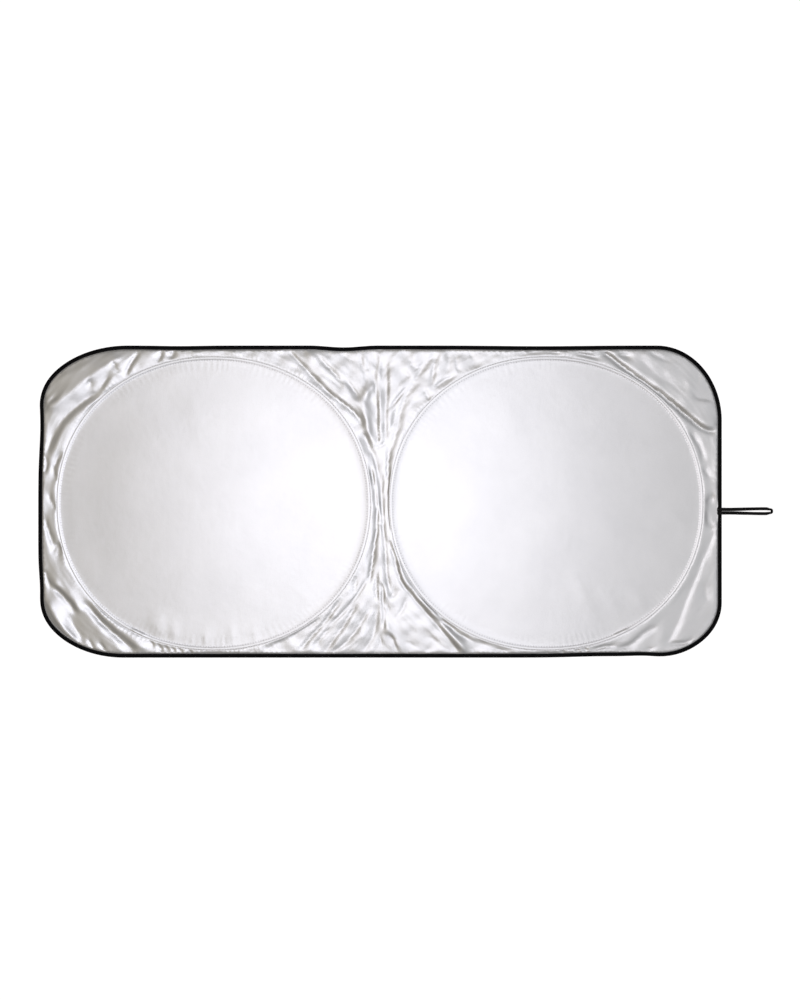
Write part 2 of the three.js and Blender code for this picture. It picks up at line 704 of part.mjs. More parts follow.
// One hairpin of flat elastic. The strap's section is square to its run and turned by its roll.
function elasticLoop() {
  const there = elasticStations();
  const back = there.map((station) => ({ ...station, across: -station.across })).reverse();
  const stations = [...there, ...back];
  const line = stations.map(({ out, across, up }) => (
    new THREE.Vector3(HALF_LENGTH + out, -LOOP_DROP + across, up)));
  const section = [[-1, -1], [1, -1], [1, 1], [-1, 1]];
  const rows = line.map((point, i) => {
    const before = line[Math.max(0, i - 1)];
    const after = line[Math.min(line.length - 1, i + 1)];
    const run = new THREE.Vector3().subVectors(after, before).normalize();
    const level = new THREE.Vector3(0, 0, 1).cross(run).normalize();
    const wide = level.applyAxisAngle(run, stations[i].roll);
    const thick = new THREE.Vector3().crossVectors(run, wide);
    return section.map(([w, t]) => point.clone()
      .addScaledVector(wide, w * ELASTIC_WIDTH / 2)
      .addScaledVector(thick, t * ELASTIC_THICKNESS / 2));
  });
  return loft(rows, false);
}

function shadeCloth() {
  const sheet = new Sheet();
  addHalf(sheet, LEFT);
  addHalf(sheet, RIGHT);
  return thickened(sheet, CLOTH_THICKNESS);
}

function silverCloth() {
  return new THREE.MeshStandardMaterial({ color: 0xd4d4d6, roughness: 0.42, metalness: 0.55 });
}

function greyTape() {
  return new THREE.MeshStandardMaterial({ color: 0xb4b5b8, roughness: 0.7, metalness: 0.2 });
}

function springSteel() {
  return new THREE.MeshStandardMaterial({ color: 0x8c8e92, roughness: 0.3, metalness: 1 });
}

function blackTape() {
  return new THREE.MeshStandardMaterial({ color: 0x0b0b0c, roughness: 0.85, metalness: 0 });
}

function blackElastic() {
  return new THREE.MeshStandardMaterial({ color: 0x0d0d0e, roughness: 0.9, metalness: 0 });
}

function named(name, geometry, material) {
  const mesh = new THREE.Mesh(geometry, material);
  mesh.name = name;
  return mesh;
}

// A hoop with its ferrule and casing.
function ring(side) {
  const word = side === LEFT ? 'left' : 'right';
  const group = new THREE.Group();
  group.add(named(`${word}_ring_wire`, ringWire(side), springSteel()));
  group.add(named(`${word}_ring_sleeve`, ringSleeve(side), greyTape()));
  const crimp = named(`${word}_ring_ferrule`, ferrule(), springSteel());
  const joint = besideSeam(side, ferruleAngle(side), -WIRE_FROM_SEAM);
  const normal = seamNormal(ferruleAngle(side));
  crimp.position.set(joint.x, joint.y, WIRE_HEIGHT);
  crimp.rotation.z = Math.atan2(normal.y, normal.x);
  group.add(crimp);
  return group;
}

const sunshade = new THREE.Group();
sunshade.add(named('shade_cloth', shadeCloth(), silverCloth()));
sunshade.add(ring(LEFT));
sunshade.add(ring(RIGHT));
sunshade.add(named('edge_binding', edgeBinding(), blackTape()));
sunshade.add(named('elastic_loop', elasticLoop(), blackElastic()));

export default sunshade;
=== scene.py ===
# Pop-up windscreen sunshade, opened out and lying on a flat surface with its silver side up.
#
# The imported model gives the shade's outline box, the hoops, their casings and the elastic loop. This
# script makes the folded cloth, the edge tape, the stitching and the elastic in full detail, and gives
# every surface its material. Everything is in metres, in the model's own frame.

import math

import bpy
import numpy as np
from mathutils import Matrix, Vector, noise


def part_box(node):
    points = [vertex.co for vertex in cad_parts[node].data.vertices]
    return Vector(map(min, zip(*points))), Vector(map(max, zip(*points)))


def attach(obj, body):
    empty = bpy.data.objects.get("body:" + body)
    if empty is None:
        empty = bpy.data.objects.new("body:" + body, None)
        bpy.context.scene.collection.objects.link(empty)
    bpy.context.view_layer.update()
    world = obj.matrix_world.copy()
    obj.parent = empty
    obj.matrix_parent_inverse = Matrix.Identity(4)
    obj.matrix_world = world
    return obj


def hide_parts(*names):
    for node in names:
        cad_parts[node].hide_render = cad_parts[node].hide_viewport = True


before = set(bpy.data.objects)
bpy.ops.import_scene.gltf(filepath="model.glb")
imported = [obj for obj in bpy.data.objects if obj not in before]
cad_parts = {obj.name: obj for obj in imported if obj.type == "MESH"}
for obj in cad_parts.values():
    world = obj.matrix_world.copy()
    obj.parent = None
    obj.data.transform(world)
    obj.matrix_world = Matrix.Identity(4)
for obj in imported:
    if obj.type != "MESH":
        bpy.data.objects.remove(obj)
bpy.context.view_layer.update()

MM = 0.001
LEFT = -1
RIGHT = 1

# The photograph's frame: its size, where the origin lies in it and how much a pixel covers
PHOTO_WIDTH = 800
PHOTO_HEIGHT = 1000
ORIGIN_PIXEL = (380, 501.6)
PIXEL = 2.195 * MM

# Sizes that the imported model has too
LEFT_TOP_CORNER = (197 * MM, 136 * MM)
RIGHT_TOP_CORNER = (143 * MM, 165 * MM)
LEFT_BOTTOM_CORNER = (187 * MM, 136 * MM)
RIGHT_BOTTOM_CORNER = (149 * MM, 121 * MM)
SAG_DEPTH = 4 * MM
SAG_MIDDLE = -80 * MM
SAG_REACH = 75 * MM
SEAM_SQUARENESS = 2.1
WIRE_FROM_SEAM = 3.8 * MM
CASING_HEM = 1.5 * MM
CASING_THICKNESS = 0.4 * MM
TAPE_THICKNESS = 0.6 * MM
ELASTIC_THICKNESS = 1.2 * MM
LOOP_TIP_TURN = 2.5 * MM
LOOP_DESCENT = 13 * MM

# The tapes, the rows of stitches and the elastic, as the photograph shows them
INNER_ROW = 6.9 * MM
TAPE_WIDTH = 8.6 * MM
TAPE_TOP = 2.4 * MM
TAPE_MOUTH = TAPE_WIDTH + 0.5 * MM
ELASTIC_WIDTH = 7.4 * MM
ELASTIC_RIBS = 7
ELASTIC_CLEARANCE = 0.3 * MM
LOOP_TAIL = 1.8 * MM
LOOP_ROOT_GAP = 0.3 * MM
LOOP_OPENING = 3.4 * MM
LOOP_TIP_WIDTH = 13.0 * MM

# How the elastic leans over and its strands part, by shares of the loop's length
ROLL_FROM = 0.2
ROLL_TO = 0.6
TIP_ROLL_FROM = 0.86
LYING_ROLL = math.radians(24)
TIP_ROLL = math.radians(55)
OPEN_FROM = 0.15
OPEN_TO = 0.8
CLOSE_FROM = 0.87

# Threads: how far apart the stitches are, their length and the thread's radius
SEAM_STITCHES = (5.8 * MM, 4.2 * MM, 0.42 * MM)
TAPE_STITCHES = (3.6 * MM, 3.0 * MM, 0.26 * MM)
STITCH_FROM_MOUTH = 1.6 * MM
STITCH_SIDES = 5
TACK_PITCH = 0.55 * MM
TACK_LENGTH = 2.1 * MM
TACK_RADIUS = 0.2 * MM
TACK_PLACES = (-9.6 * MM, -2.4 * MM)

# A stitch's rings: place by its length, then width and height by the thread's radius
STITCH_RINGS = [(-0.5, 0.35, -0.35), (-0.36, 0.9, 0.15), (0.0, 1.0, 0.4), (0.36, 0.9, 0.15),
                (0.5, 0.35, -0.35)]

# How finely the tapes and the cloth are made. The cloth's corners lie on rays from each hoop's centre.
# Outsets are distances out from the outer row of stitches, in millimetres. A ring of the disc has its
# share of the way out and how many rays there are to each of its corners.
TAPE_STEP = 3 * MM
CASING_STATIONS = 560
RAYS_TO_FOLD_LINE = 160
RAYS_TO_EDGE = 512
SLACK_STEP = 3.3 * MM
CASING_OUTSETS = [-16, -9.5, -8.2, -6.9, -5.6, -4.8, -4.2, -3.4, -2.4, -1.6, -0.8, 0]
SEAM_LIP_OUTSETS = [0.8, 1.8, 3.4]
DISC_RINGS = [(0.97, 1), (0.94, 2), (0.9, 2), (0.85, 2), (0.78, 4), (0.7, 4), (0.6, 4), (0.48, 8),
              (0.35, 8), (0.2, 16)]
SAME_PLACE = 1e-9
ZONE_DISC = 0
ZONE_CASING = 1
ZONE_SLACK = 2
ZONE_TAPE = 3

# The cloth's thickness, how far inside the outline it ends, and heights of its upper side
CLOTH_THICKNESS = 0.35 * MM
CLOTH_INSET = 3.5 * MM
CLOTH_ON_DISC = 0.9 * MM
CLOTH_IN_TAPE = 1.75 * MM
CLOTH_UNDER_LOOP = 1.5 * MM
CLOTH_BY_TAPE = 5.5 * MM
CLOTH_BY_TAPE_MIDWAY = 3.6 * MM
LOWEST_CLOTH = 0.4 * MM
CREASE_HEIGHT = 1.9 * MM
FERRULE_LIFT = 0.75 * MM

# The cloth and the tape below it across a hoop's casing, in millimetres: outset, and height of the upper
# side. The second list is for the middle of the shade, where the cloth is drawn tighter. It gives way to
# the first between MIDWAY_FROM and MIDWAY_TO, measured from the fold line.
CLOTH_OVER_CASING = [(-16, 2.5), (-12.5, 2.6), (-10.5, 2.64), (-9.5, 2.68), (-8.2, 2.8), (-6.9, 3.05),
                     (-5.6, 3.5), (-4.8, 3.82), (-4.2, 4.02), (-3.6, 4.15), (-3.0, 4.27), (-2.4, 4.38),
                     (-1.6, 4.5), (-0.8, 4.58), (0, 4.1), (0.8, 4.55), (1.8, 4.78), (3.4, 5.1), (5.2, 5.4),
                     (7, 5.5)]
CLOTH_OVER_CASING_MIDWAY = [(-16, 2.4), (-12.5, 2.85), (-10.5, 3.13), (-9.5, 3.27), (-8.2, 3.45),
                            (-6.9, 3.64), (-5.6, 3.83), (-4.8, 3.97), (-4.2, 4.05), (-3.6, 4.09),
                            (-3.0, 4.12), (-2.4, 4.15), (-1.6, 4.15), (-0.8, 4.12), (0, 3.75), (0.8, 4.1),
                            (1.8, 4.2), (3.4, 4.15), (5.2, 4.0), (7, 3.8)]
TAPE_UNDER_CASING = [(1.5, 2.7), (0, 2.65), (-1, 2.0), (-2.0, 1.0), (-3.8, 0.42), (-5.4, 0.5), (-7.4, 1.0),
                     (-9.5, 1.7), (-11, 1.75)]
MIDWAY_FROM = 140 * MM
MIDWAY_TO = 460 * MM
FERRULE_BUMP_FADES = (11 * MM, 20 * MM)
WIRE_BUMP_FADES = (2 * MM, 5 * MM)

# How strongly the folds' lines, the seams and the tape hold the slack cloth, and how far each reaches
LINE_HOLD = 30.0
LINE_REACH = 2.4 * MM
FADE_SHARE = 0.3
LONGEST_FADE = 26 * MM
SNAP_REACH = 0.42 * SLACK_STEP
SEAM_LIP_HOLD = 10.0
SEAM_LIP_FADES = (4 * MM, 7 * MM)
TAPE_LIP_HOLD = 24.0
TAPE_LIP_WIDTH = 1.3 * MM
TAPE_LIP_FADES = (3 * MM, 8 * MM)
TAPE_LIP_WAVE = 34 * MM
TAPE_LIP_WAVE_DEPTH = 0.8 * MM
LOOP_PRESSES = (16 * MM, 42 * MM)
CREST_ROUNDING = 3
SOLVER_ROUNDS = 900
SOLVED = 1e-16

# The small uneven forms of the cloth: how long or wide they are and how deep. The offset makes those
# round the right hoop differ from those round the left.
DISC_SETTLES_OVER = 75 * MM
DISC_PLEAT = 13 * MM
DISC_PLEAT_DEPTH = 0.3 * MM
DISC_PLEAT_FADES = (6 * MM, 42 * MM)
DISC_SWELL = 0.8 * MM
RIGHT_RUN_OFFSET = 10
RIPPLE = 26 * MM
RIPPLE_DEPTH = 0.8 * MM
RIPPLE_DEPTH_MIDWAY = 1.3 * MM
CRINKLE_DEPTH = 0.4 * MM
SEAM_GATHER = 9 * MM
SEAM_GATHER_DEPTH = 0.8 * MM
SEAM_GATHER_FADES = (5 * MM, 16 * MM)
TAPE_GATHER = 12 * MM
TAPE_GATHER_DEPTH = 0.7 * MM
TAPE_GATHER_FADES = (3 * MM, 14 * MM)

# The camera's height, the floor, the lamp, and the room that the cloth mirrors: how bright it is from
# floor level to overhead, and its tint from the left side to the right
CAMERA_HEIGHT = 4.2
FLOOR_REACH = 7.0
FLOOR_GLOW = 0.66
LAMP_PLACE = (-0.06, 0.03, 1.8)
LAMP_SIZE = (1.2, 1.12)
LAMP_POWER = 6.82
LAMP_COLOUR = (0.915, 0.91, 1)
SKY_LEVELS = [(0.0, 0.09), (0.5, 0.24), (0.8, 0.57), (1.0, 0.97)]
SIDEWAYS_FROM = -0.4
SIDEWAYS_TO = 0.4
SIDE_TINTS = [(0.0, (0.667, 0.607, 0.5)), (0.5, (0.657, 0.637, 0.62)), (0.65, (0.69, 0.69, 0.71)),
              (0.86, (0.98, 0.98, 1.0))]
WHITE = (1, 1, 1, 1)


def crease(route, left=None, right=None, both=None, base=0):
    """A low line of the cloth, with the height and the distance of the crests beside it."""
    return {"route": route, "height": base, "is_crease": True, "left": both or left, "right": both or right}


def crest(route, height):
    """A high line of the cloth."""
    return {"route": route, "height": height, "is_crease": False, "left": None, "right": None}


# The folds as read from the photograph, in its pixels. A crease is a low line with cloth that rises from
# it on its left, its right or both, going along its points: a side is the height of its crest and how
# far off it is, and both is for two equal sides. A crest is a high line. Heights and distances are in
# millimetres.
TOP_LEFT = [
    crest([(48, 410), (60, 400), (71, 392), (81, 385), (91, 377), (101, 370), (112, 362), (119, 357)], 11.5),
    crease([(46, 456), (52, 440), (59, 426), (69, 414), (81, 404), (92, 396), (100, 391)],
           right=(5.5, 14), base=1),
    crest([(60, 381), (74, 372), (92, 366), (112, 359)], 8),
    crease([(44, 405), (50, 401), (58, 396)], left=(2, 4), base=6),
    crease([(89, 379), (92, 387), (97, 393)], base=5),
    crease([(101, 391), (105, 383), (110, 375)], right=(4, 6), base=3),
    crease([(113, 360), (117, 370), (124, 373)], both=(2, 5), base=6),
    crease([(126, 377), (130, 366), (135, 358), (141, 350)], left=(4, 6), right=(5, 6), base=1.5),
    crest([(143, 367), (156, 351)], 5),
    crease([(158, 363), (163, 350)], left=(3, 4), right=(4, 4)),
    crease([(170, 358), (176, 350)], left=(2, 4), right=(3, 4)),
    crease([(150, 366), (147, 372), (140, 374)], left=(3, 4)),
]
LEFT_END = [
    crease([(44, 476), (47, 464), (43, 453)], right=(6, 5)),
    crease([(62, 452), (57, 461), (54, 471), (58, 482)], left=(4, 4), right=(5, 4)),
    crease([(49, 493), (52, 502), (57, 511)], left=(4, 4), right=(4, 5)),
    crest([(47, 484), (44, 497), (49, 514)], 5),
    crease([(43, 511), (47, 525), (51, 537), (54, 549)], both=(6, 5)),
    crease([(52, 553), (58, 545), (60, 556)], both=(3, 4)),
    crest([(45, 530), (49, 547), (56, 567), (62, 588)], 8),
    crease([(44, 568), (48, 580), (54, 590)], left=(6, 5), right=(3, 4)),
]
BOTTOM_LEFT = [
    crease([(50, 586), (58, 591), (65, 598), (71, 605), (77, 615)], left=(8, 11), right=(4, 8)),
    crest([(48, 602), (56, 618), (66, 631), (79, 642)], 12),
    crest([(92, 602), (103, 615), (113, 624), (129, 637), (147, 651)], 6.8),
    crease([(84, 602), (90, 608), (98, 618), (107, 627), (123, 641), (138, 654)], base=-0.6),
    crest([(82, 608), (92, 619), (102, 630), (117, 646)], 5.5),
    crease([(70, 614), (75, 627), (84, 642)], right=(3, 9), base=0.5),
    crease([(88, 638), (96, 652)], both=(4, 4)),
    crease([(99, 641), (107, 653)], both=(4, 4)),
    crest([(112, 636), (117, 644), (121, 653)], 6),
    *[crease([start, end], both=(3, 3)) for start, end in (
        ((150, 639), (154, 647)), ((157, 642), (163, 652)), ((162, 641), (170, 653)),
        ((169, 643), (176, 653)), ((176, 645), (183, 653)))],
    crease([(188, 647), (192, 654)], both=(2, 3)),
]
CENTRE_LEFT_TOP = [
    crease([(286, 348), (300, 363), (312, 376), (324, 388), (335, 398), (346, 406), (357, 416), (364, 426)],
           left=(9, 8), right=(4, 4)),
    crest([(301, 345), (320, 363), (338, 381), (354, 396)], 12),
    crease([(318, 357), (327, 366), (336, 376), (345, 387)], left=(6, 7), right=(2, 6), base=2),
    crease([(345, 377), (352, 387), (359, 399)], left=(4, 4), right=(3, 5), base=2),
    crease([(360, 348), (362, 364), (366, 378), (363, 389)], left=(6, 5), right=(4, 4), base=1),
    crease([(370, 352), (368, 366), (366, 378)], left=(5, 4), right=(3, 4), base=1),
    crest([(375, 383), (365, 398), (364, 412), (369, 430), (374, 444)], 15),
    crease([(375, 349), (377, 362), (375, 375), (376, 390), (377, 405), (377, 420), (378, 448)],
           left=(5, 3), right=(3, 12)),
    crease([(382, 360), (383, 373), (382, 386)], left=(5, 3), right=(4, 4)),
    crest([(379, 386), (379.5, 415), (380, 446)], 8.5),
    crease([(386, 358), (387, 375), (387, 392), (386, 412), (386, 440)], left=(7, 4)),
    crease([(371, 449), (380, 446), (389, 441)], both=(3, 3)),
    crease([(343, 352), (348, 358), (356, 362)], left=(3, 5), right=(2, 5)),
    crease([(325, 350), (331, 356)], both=(3, 4)),
]
CENTRE_RIGHT_TOP = [
    crease([(389, 409), (397, 400), (402, 393), (410, 382)], left=(6, 5), right=(6, 4)),
    crease([(438, 350), (428, 362), (420, 372), (412, 385), (405, 398), (400, 412), (397, 428), (391, 448)],
           left=(7.5, 14), right=(4, 3)),
    crease([(440, 349), (435, 362), (433, 375), (431, 391)], left=(7, 6), right=(6, 4), base=1),
    crease([(431, 391), (440, 383), (450, 378), (461, 373)], left=(5, 5), right=(3, 4), base=1),
    crease([(456, 354), (457, 365), (460, 374)], both=(5, 4), base=1),
    crease([(409, 350), (411, 361), (416, 368), (423, 364), (429, 356)], left=(5, 4), right=(2, 4), base=1),
    crease([(399, 360), (399, 371)], both=(3, 4), base=1),
    crease([(404, 371), (411, 380)], both=(3, 4), base=1),
    crease([(398, 403), (395, 415), (392, 433)], left=(6, 4), right=(5, 4)),
    crease([(424, 389), (431, 402)], both=(4, 4), base=1),
    crease([(446, 352), (449, 362), (446, 372)], left=(2, 5), right=(3, 6), base=1),
    crease([(470, 352), (474, 361)], left=(2, 5), right=(3, 5)),
]
CENTRE = [
    crease([(364, 433), (371, 450), (376, 464), (379, 478), (380, 492), (381, 515)],
           right=(5.5, 11), base=-3),
    crest([(371, 459), (374, 475), (377, 492), (380, 512)], 4.5),
    crease([(382, 470), (382, 490), (383, 508), (383, 526), (384, 546)], base=-3),
    crease([(370, 464), (374, 484), (376, 500), (377, 520), (375, 542), (373, 556), (371, 570), (369, 585)],
           left=(8, 6), right=(7, 6), base=-3.2),
    crease([(390, 445), (388, 465), (388, 490), (388, 512), (391, 535)],
           left=(4, 4), right=(6, 6), base=-2.5),
    crease([(379, 521), (385, 516)], both=(3, 3)),
    crest([(381, 526), (382, 552), (381, 577)], 6),
    crease([(383, 524), (385, 545), (386, 560), (387, 575), (390, 594)],
           left=(5, 5), right=(5, 7), base=-1),
    crease([(377, 569), (376, 584), (377, 595), (379, 607)], left=(8, 4), right=(6, 4)),
    crease([(379, 583), (383, 588), (383, 600), (384, 611), (384, 622), (383, 634)],
           left=(12, 5), right=(6, 4)),
    crease([(383, 633), (388, 635), (392, 638), (395, 645), (399, 654)], left=(9, 5), right=(5, 4)),
]
BOTTOM_CENTRE_LEFT = [
    crease([(298, 652), (308, 640), (316, 631), (326, 620), (334, 609), (340, 600)],
           left=(8, 5), right=(8, 9)),
    crease([(329, 626), (340, 615), (350, 604), (358, 593), (368, 577)], left=(7, 5), right=(7, 6)),
    crease([(324, 654), (333, 640), (342, 628), (350, 615), (357, 602)], left=(4, 3), right=(8, 8)),
    crease([(314, 648), (321, 638), (330, 627)], both=(4, 4)),
    crease([(332, 654), (348, 640), (357, 629), (366, 614), (371, 608)], left=(4, 4), right=(7, 8)),
    crease([(356, 575), (355, 590), (351, 600)], left=(4, 3), right=(4, 4)),
    crease([(264, 650), (278, 643), (292, 636), (306, 628), (322, 617)], left=(4, 4), right=(3, 4)),
    crease([(361, 655), (368, 645), (374, 632), (376, 618), (377, 604)], left=(4, 5), right=(7, 9)),
    crease([(379, 632), (382, 648)], both=(4, 4)),
    crest([(348, 655), (358, 644), (366, 628)], 8),
]
BOTTOM_CENTRE_RIGHT = [
    crease([(388, 540), (394, 556), (398, 572), (402, 583), (409, 592), (418, 603), (430, 617)],
           left=(13, 8), right=(4, 5)),
    crease([(415, 600), (430, 617), (441, 630), (451, 642), (461, 655)], left=(17, 12), right=(4, 5)),
    crease([(435, 615), (450, 627), (463, 636), (480, 643), (495, 648), (512, 654)], both=(3, 4)),
    crease([(415, 654), (426, 651), (432, 646)], both=(3, 4)),
    crease([(404, 641), (414, 646)], both=(3, 4)),
    crease([(429, 636), (439, 642)], both=(3, 4)),
    crease([(407, 597), (402, 610), (394, 620)], left=(5, 6), right=(4, 5), base=1),
    crease([(396, 583), (392, 596), (398, 590), (401, 592)], both=(4, 4)),
    crease([(386, 598), (388, 612), (386, 624)], left=(4, 4), right=(3, 4)),
]
TOP_RIGHT = [
    crease([(598, 349), (611, 358), (622, 367), (634, 376), (646, 384), (658, 393), (668, 401), (680, 411),
            (690, 419), (698, 426), (707, 431), (717, 431)], left=(7.2, 10.5), right=(4.4, 7.5), base=-1.5),
    crest([(640, 350), (656, 361), (669, 372), (681, 383), (692, 394)], 5),
    crease([(632, 355), (643, 363), (653, 372), (665, 381), (679, 390)], base=3.6),
    crease([(645, 350), (656, 356), (664, 360), (671, 360)], left=(2, 5), right=(2.4, 5), base=2.5),
    crest([(688, 382), (689, 393), (695, 405)], 6.6),
    crease([(693, 397), (703, 399), (716, 401)], left=(1.5, 5), right=(3.2, 4), base=2.4),
    crest([(696, 411), (706, 418), (716, 422)], 5),
    crest([(672, 406), (681, 417), (689, 431)], 4),
    crease([(690, 431), (696, 440), (701, 450), (704, 462)], left=(2.4, 5), right=(1.5, 4)),
    crease([(703, 467), (709, 477)], both=(1.5, 4)),
    crease([(618, 354), (630, 357)], both=(1.5, 4)),
    crease([(520, 355), (533, 351.5), (548, 351.5), (562, 353)], left=(1, 2), right=(2.5, 4)),
    crease([(572, 352), (585, 355), (600, 359)], left=(2, 4), right=(3, 4)),
    crease([(700, 370), (697, 381)], left=(1, 5), right=(1.2, 5), base=3),
]
BOTTOM_RIGHT = [
    crest([(718, 532), (712, 547), (706, 561), (700, 576), (694, 591), (688, 606), (683, 621), (677, 634),
           (671, 645)], 3.4),
    crease([(716, 529), (709, 544), (703, 558), (697, 573), (690, 590), (684, 606), (678, 621), (672, 634),
            (665, 646)], left=(1.2, 8), base=0.9),
    crease([(617, 650), (630, 645), (638, 638), (647, 631), (656, 626)], left=(4, 10), right=(2, 10)),
    crest([(618, 641), (636, 629), (656, 621)], 3),
    crest([(655, 652), (661, 641), (663, 630)], 2.6),
    crease([(668, 645), (675, 643), (684, 643), (694, 638)], left=(3.5, 4)),
    *[crease([start, end], both=(2, 3)) for start, end in (
        ((545, 652), (551, 655)), ((560, 650), (566, 655)), ((575, 648), (581, 654)),
        ((582, 646), (588, 654)))],
    crease([(589, 652), (600, 648), (615, 645)], left=(2.4, 3), right=(2.4, 4)),
    crease([(642, 652), (653, 649)], left=(1.5, 3), right=(2, 4)),
    crest([(687, 616), (702, 612)], 3),
    crest([(706, 600), (708, 612), (703, 624)], 3.2),
    crest([(710, 572), (715, 590)], 3),
    crease([(704, 586), (706, 600)], both=(1, 6), base=1),
    crease([(706, 505), (712, 512), (714, 524)], left=(1.5, 4), right=(2, 4)),
]

# The regions, each with the share of the heights given above that its folds have
REGIONS = [(TOP_LEFT, 0.92), (LEFT_END, 0.55), (BOTTOM_LEFT, 0.9), (CENTRE_LEFT_TOP, 0.44),
           (CENTRE_RIGHT_TOP, 0.36), (CENTRE, 0.45), (BOTTOM_CENTRE_LEFT, 0.35), (BOTTOM_CENTRE_RIGHT, 0.42),
           (TOP_RIGHT, 1.0), (BOTTOM_RIGHT, 1.0)]

# Soft waves of the tight cloth inside the hoops: route in the photograph's pixels, height and half width
# in millimetres
DISC_WAVES = [([(148, 612), (158, 625), (166, 641)], 1.0, 14),
              ([(170, 618), (174, 632), (177, 643)], 0.9, 9),
              ([(663, 505), (672, 515), (690, 528)], 0.8, 9), ([(655, 520), (668, 531)], 0.6, 8),
              ([(572, 572), (586, 600), (604, 628)], 0.8, 16),
              ([(600, 585), (615, 607), (628, 622)], 0.6, 14),
              ([(630, 590), (650, 612)], 0.6, 12), ([(205, 628), (207, 648)], 0.6, 8),
              ([(232, 622), (232, 648)], 0.6, 9), ([(256, 625), (254, 645)], 0.5, 8),
              ([(190, 392), (199, 430)], 0.5, 20), ([(150, 378), (200, 366)], 0.4, 10),
              ([(412, 533), (424, 541)], 0.4, 7), ([(298, 600), (310, 594)], 0.4, 6)]

# Where the bound edge draws in a little: a place on it in the photograph's pixels, and in millimetres
# how far in and over what reach. DIPS_INWARDS is how far in from the edge a dip still moves the cloth.
EDGE_DIPS = [((38, 425), 4.5, 75), ((38, 592), 4, 50), ((605, 658), 3, 90), ((645, 658), 3, 45),
             ((540, 346), 1.5, 120), ((180, 346), 1.2, 60)]
DIPS_INWARDS = 35 * MM


def photo_place(pixel):
    """Where on the shade a pixel of the photograph lies."""
    return np.array([pixel[0] - ORIGIN_PIXEL[0], ORIGIN_PIXEL[1] - pixel[1]]) * PIXEL


def ramp(value, start, end):
    """0 up to the start, 1 from the end on, and smooth between."""
    share = np.clip((value - start) / (end - start), 0, 1)
    return share * share * (3 - 2 * share)


def fading(value, start, end):
    """1 up to the start, 0 from the end on, and smooth between."""
    return 1 - ramp(value, start, end)


def blend_between(low, high, share):
    return low + (high - low) * share


def distances_along(path):
    """How far along a path each of its points lies."""
    return np.concatenate([[0], np.cumsum(np.linalg.norm(np.diff(path, axis=0), axis=1))])


def node_box(name):
    low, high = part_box(name)
    return np.array(low), np.array(high)


TAPE_LOW, TAPE_HIGH = node_box("edge_binding")
HALF_LENGTH = TAPE_HIGH[0]
HALF_WIDTH = -TAPE_LOW[1]
SLEEVE_LOW, SLEEVE_HIGH = node_box("right_ring_sleeve")
RING_X = (SLEEVE_LOW[0] + SLEEVE_HIGH[0]) / 2
RING_Y = (SLEEVE_LOW[1] + SLEEVE_HIGH[1]) / 2
SEAM_ALONG = (SLEEVE_HIGH[0] - SLEEVE_LOW[0]) / 2 - CASING_HEM
SEAM_ACROSS = (SLEEVE_HIGH[1] - SLEEVE_LOW[1]) / 2 - CASING_HEM
LOOP_LOW, LOOP_HIGH = node_box("elastic_loop")
LOOP_Y = (LOOP_LOW[1] + LOOP_HIGH[1]) / 2
LOOP_LENGTH = LOOP_HIGH[0] - HALF_LENGTH
SIDE_WORDS = {LEFT: "left", RIGHT: "right"}
UPWARD = np.array([0.0, 0.0, 1.0])


def top_sag(x):
    """How far the top edge is drawn down."""
    away = np.minimum(1, np.abs(x - SAG_MIDDLE) / SAG_REACH)
    return SAG_DEPTH * (1 + np.cos(np.pi * away)) / 2


def corner_sizes(x, y):
    """How far the rounded corner nearest each point runs along and across the shade."""
    left = x < 0
    top = y > 0
    sizes = [np.where(left, np.where(top, lt, lb), np.where(top, rt, rb)) for lt, rt, lb, rb in zip(
        LEFT_TOP_CORNER, RIGHT_TOP_CORNER, LEFT_BOTTOM_CORNER, RIGHT_BOTTOM_CORNER)]
    return sizes[0], sizes[1]


def inside_edge(x, y, inset):
    """Whether points lie inside the outline, drawn in by the inset."""
    along, across = corner_sizes(x, y)
    along = along - inset
    across = across - inset
    sag = np.where(y > 0, top_sag(x), 0)
    to_side = np.abs(x) - (HALF_LENGTH - inset - along)
    to_end = np.abs(y) + sag - (HALF_WIDTH - inset - across)
    straight = (to_side <= along) & (to_end <= across)
    rounded = (to_side / along) ** 2 + (to_end / across) ** 2 <= 1
    return np.where((to_side <= 0) | (to_end <= 0), straight, rounded)


def seam_radius(angle):
    """Distance from a hoop's centre to its outer row of stitches, a slightly squared ellipse."""
    along = np.abs(np.cos(angle)) / SEAM_ALONG
    across = np.abs(np.sin(angle)) / SEAM_ACROSS
    return (along ** SEAM_SQUARENESS + across ** SEAM_SQUARENESS) ** (-1 / SEAM_SQUARENESS)


def ring_centre(side):
    return np.array([side * RING_X, RING_Y])


def directions(angle):
    return np.stack([np.cos(angle), np.sin(angle)], axis=-1)


def seam_point(side, angle):
    return ring_centre(side) + directions(angle) * seam_radius(angle)[..., None]


def seam_normal(angle):
    """The way out, square to the row of stitches."""
    small = 1e-4
    after = directions(angle + small) * seam_radius(angle + small)[..., None]
    before = directions(angle - small) * seam_radius(angle - small)[..., None]
    run = after - before
    normal = np.stack([run[..., 1], -run[..., 0]], axis=-1)
    return normal / np.linalg.norm(normal, axis=-1, keepdims=True)


def reach_along(side, angle, inset):
    """Distance from a hoop's centre, along each ray, to the drawn-in outline or to the fold line."""
    centre = ring_centre(side)
    near = np.zeros_like(angle)
    far = np.full_like(angle, 2 * HALF_LENGTH)
    for _ in range(44):
        middle = (near + far) / 2
        x = centre[0] + middle * np.cos(angle)
        y = centre[1] + middle * np.sin(angle)
        within = (x * side > 0) & inside_edge(x, y, inset)
        near = np.where(within, middle, near)
        far = np.where(within, far, middle)
    return near


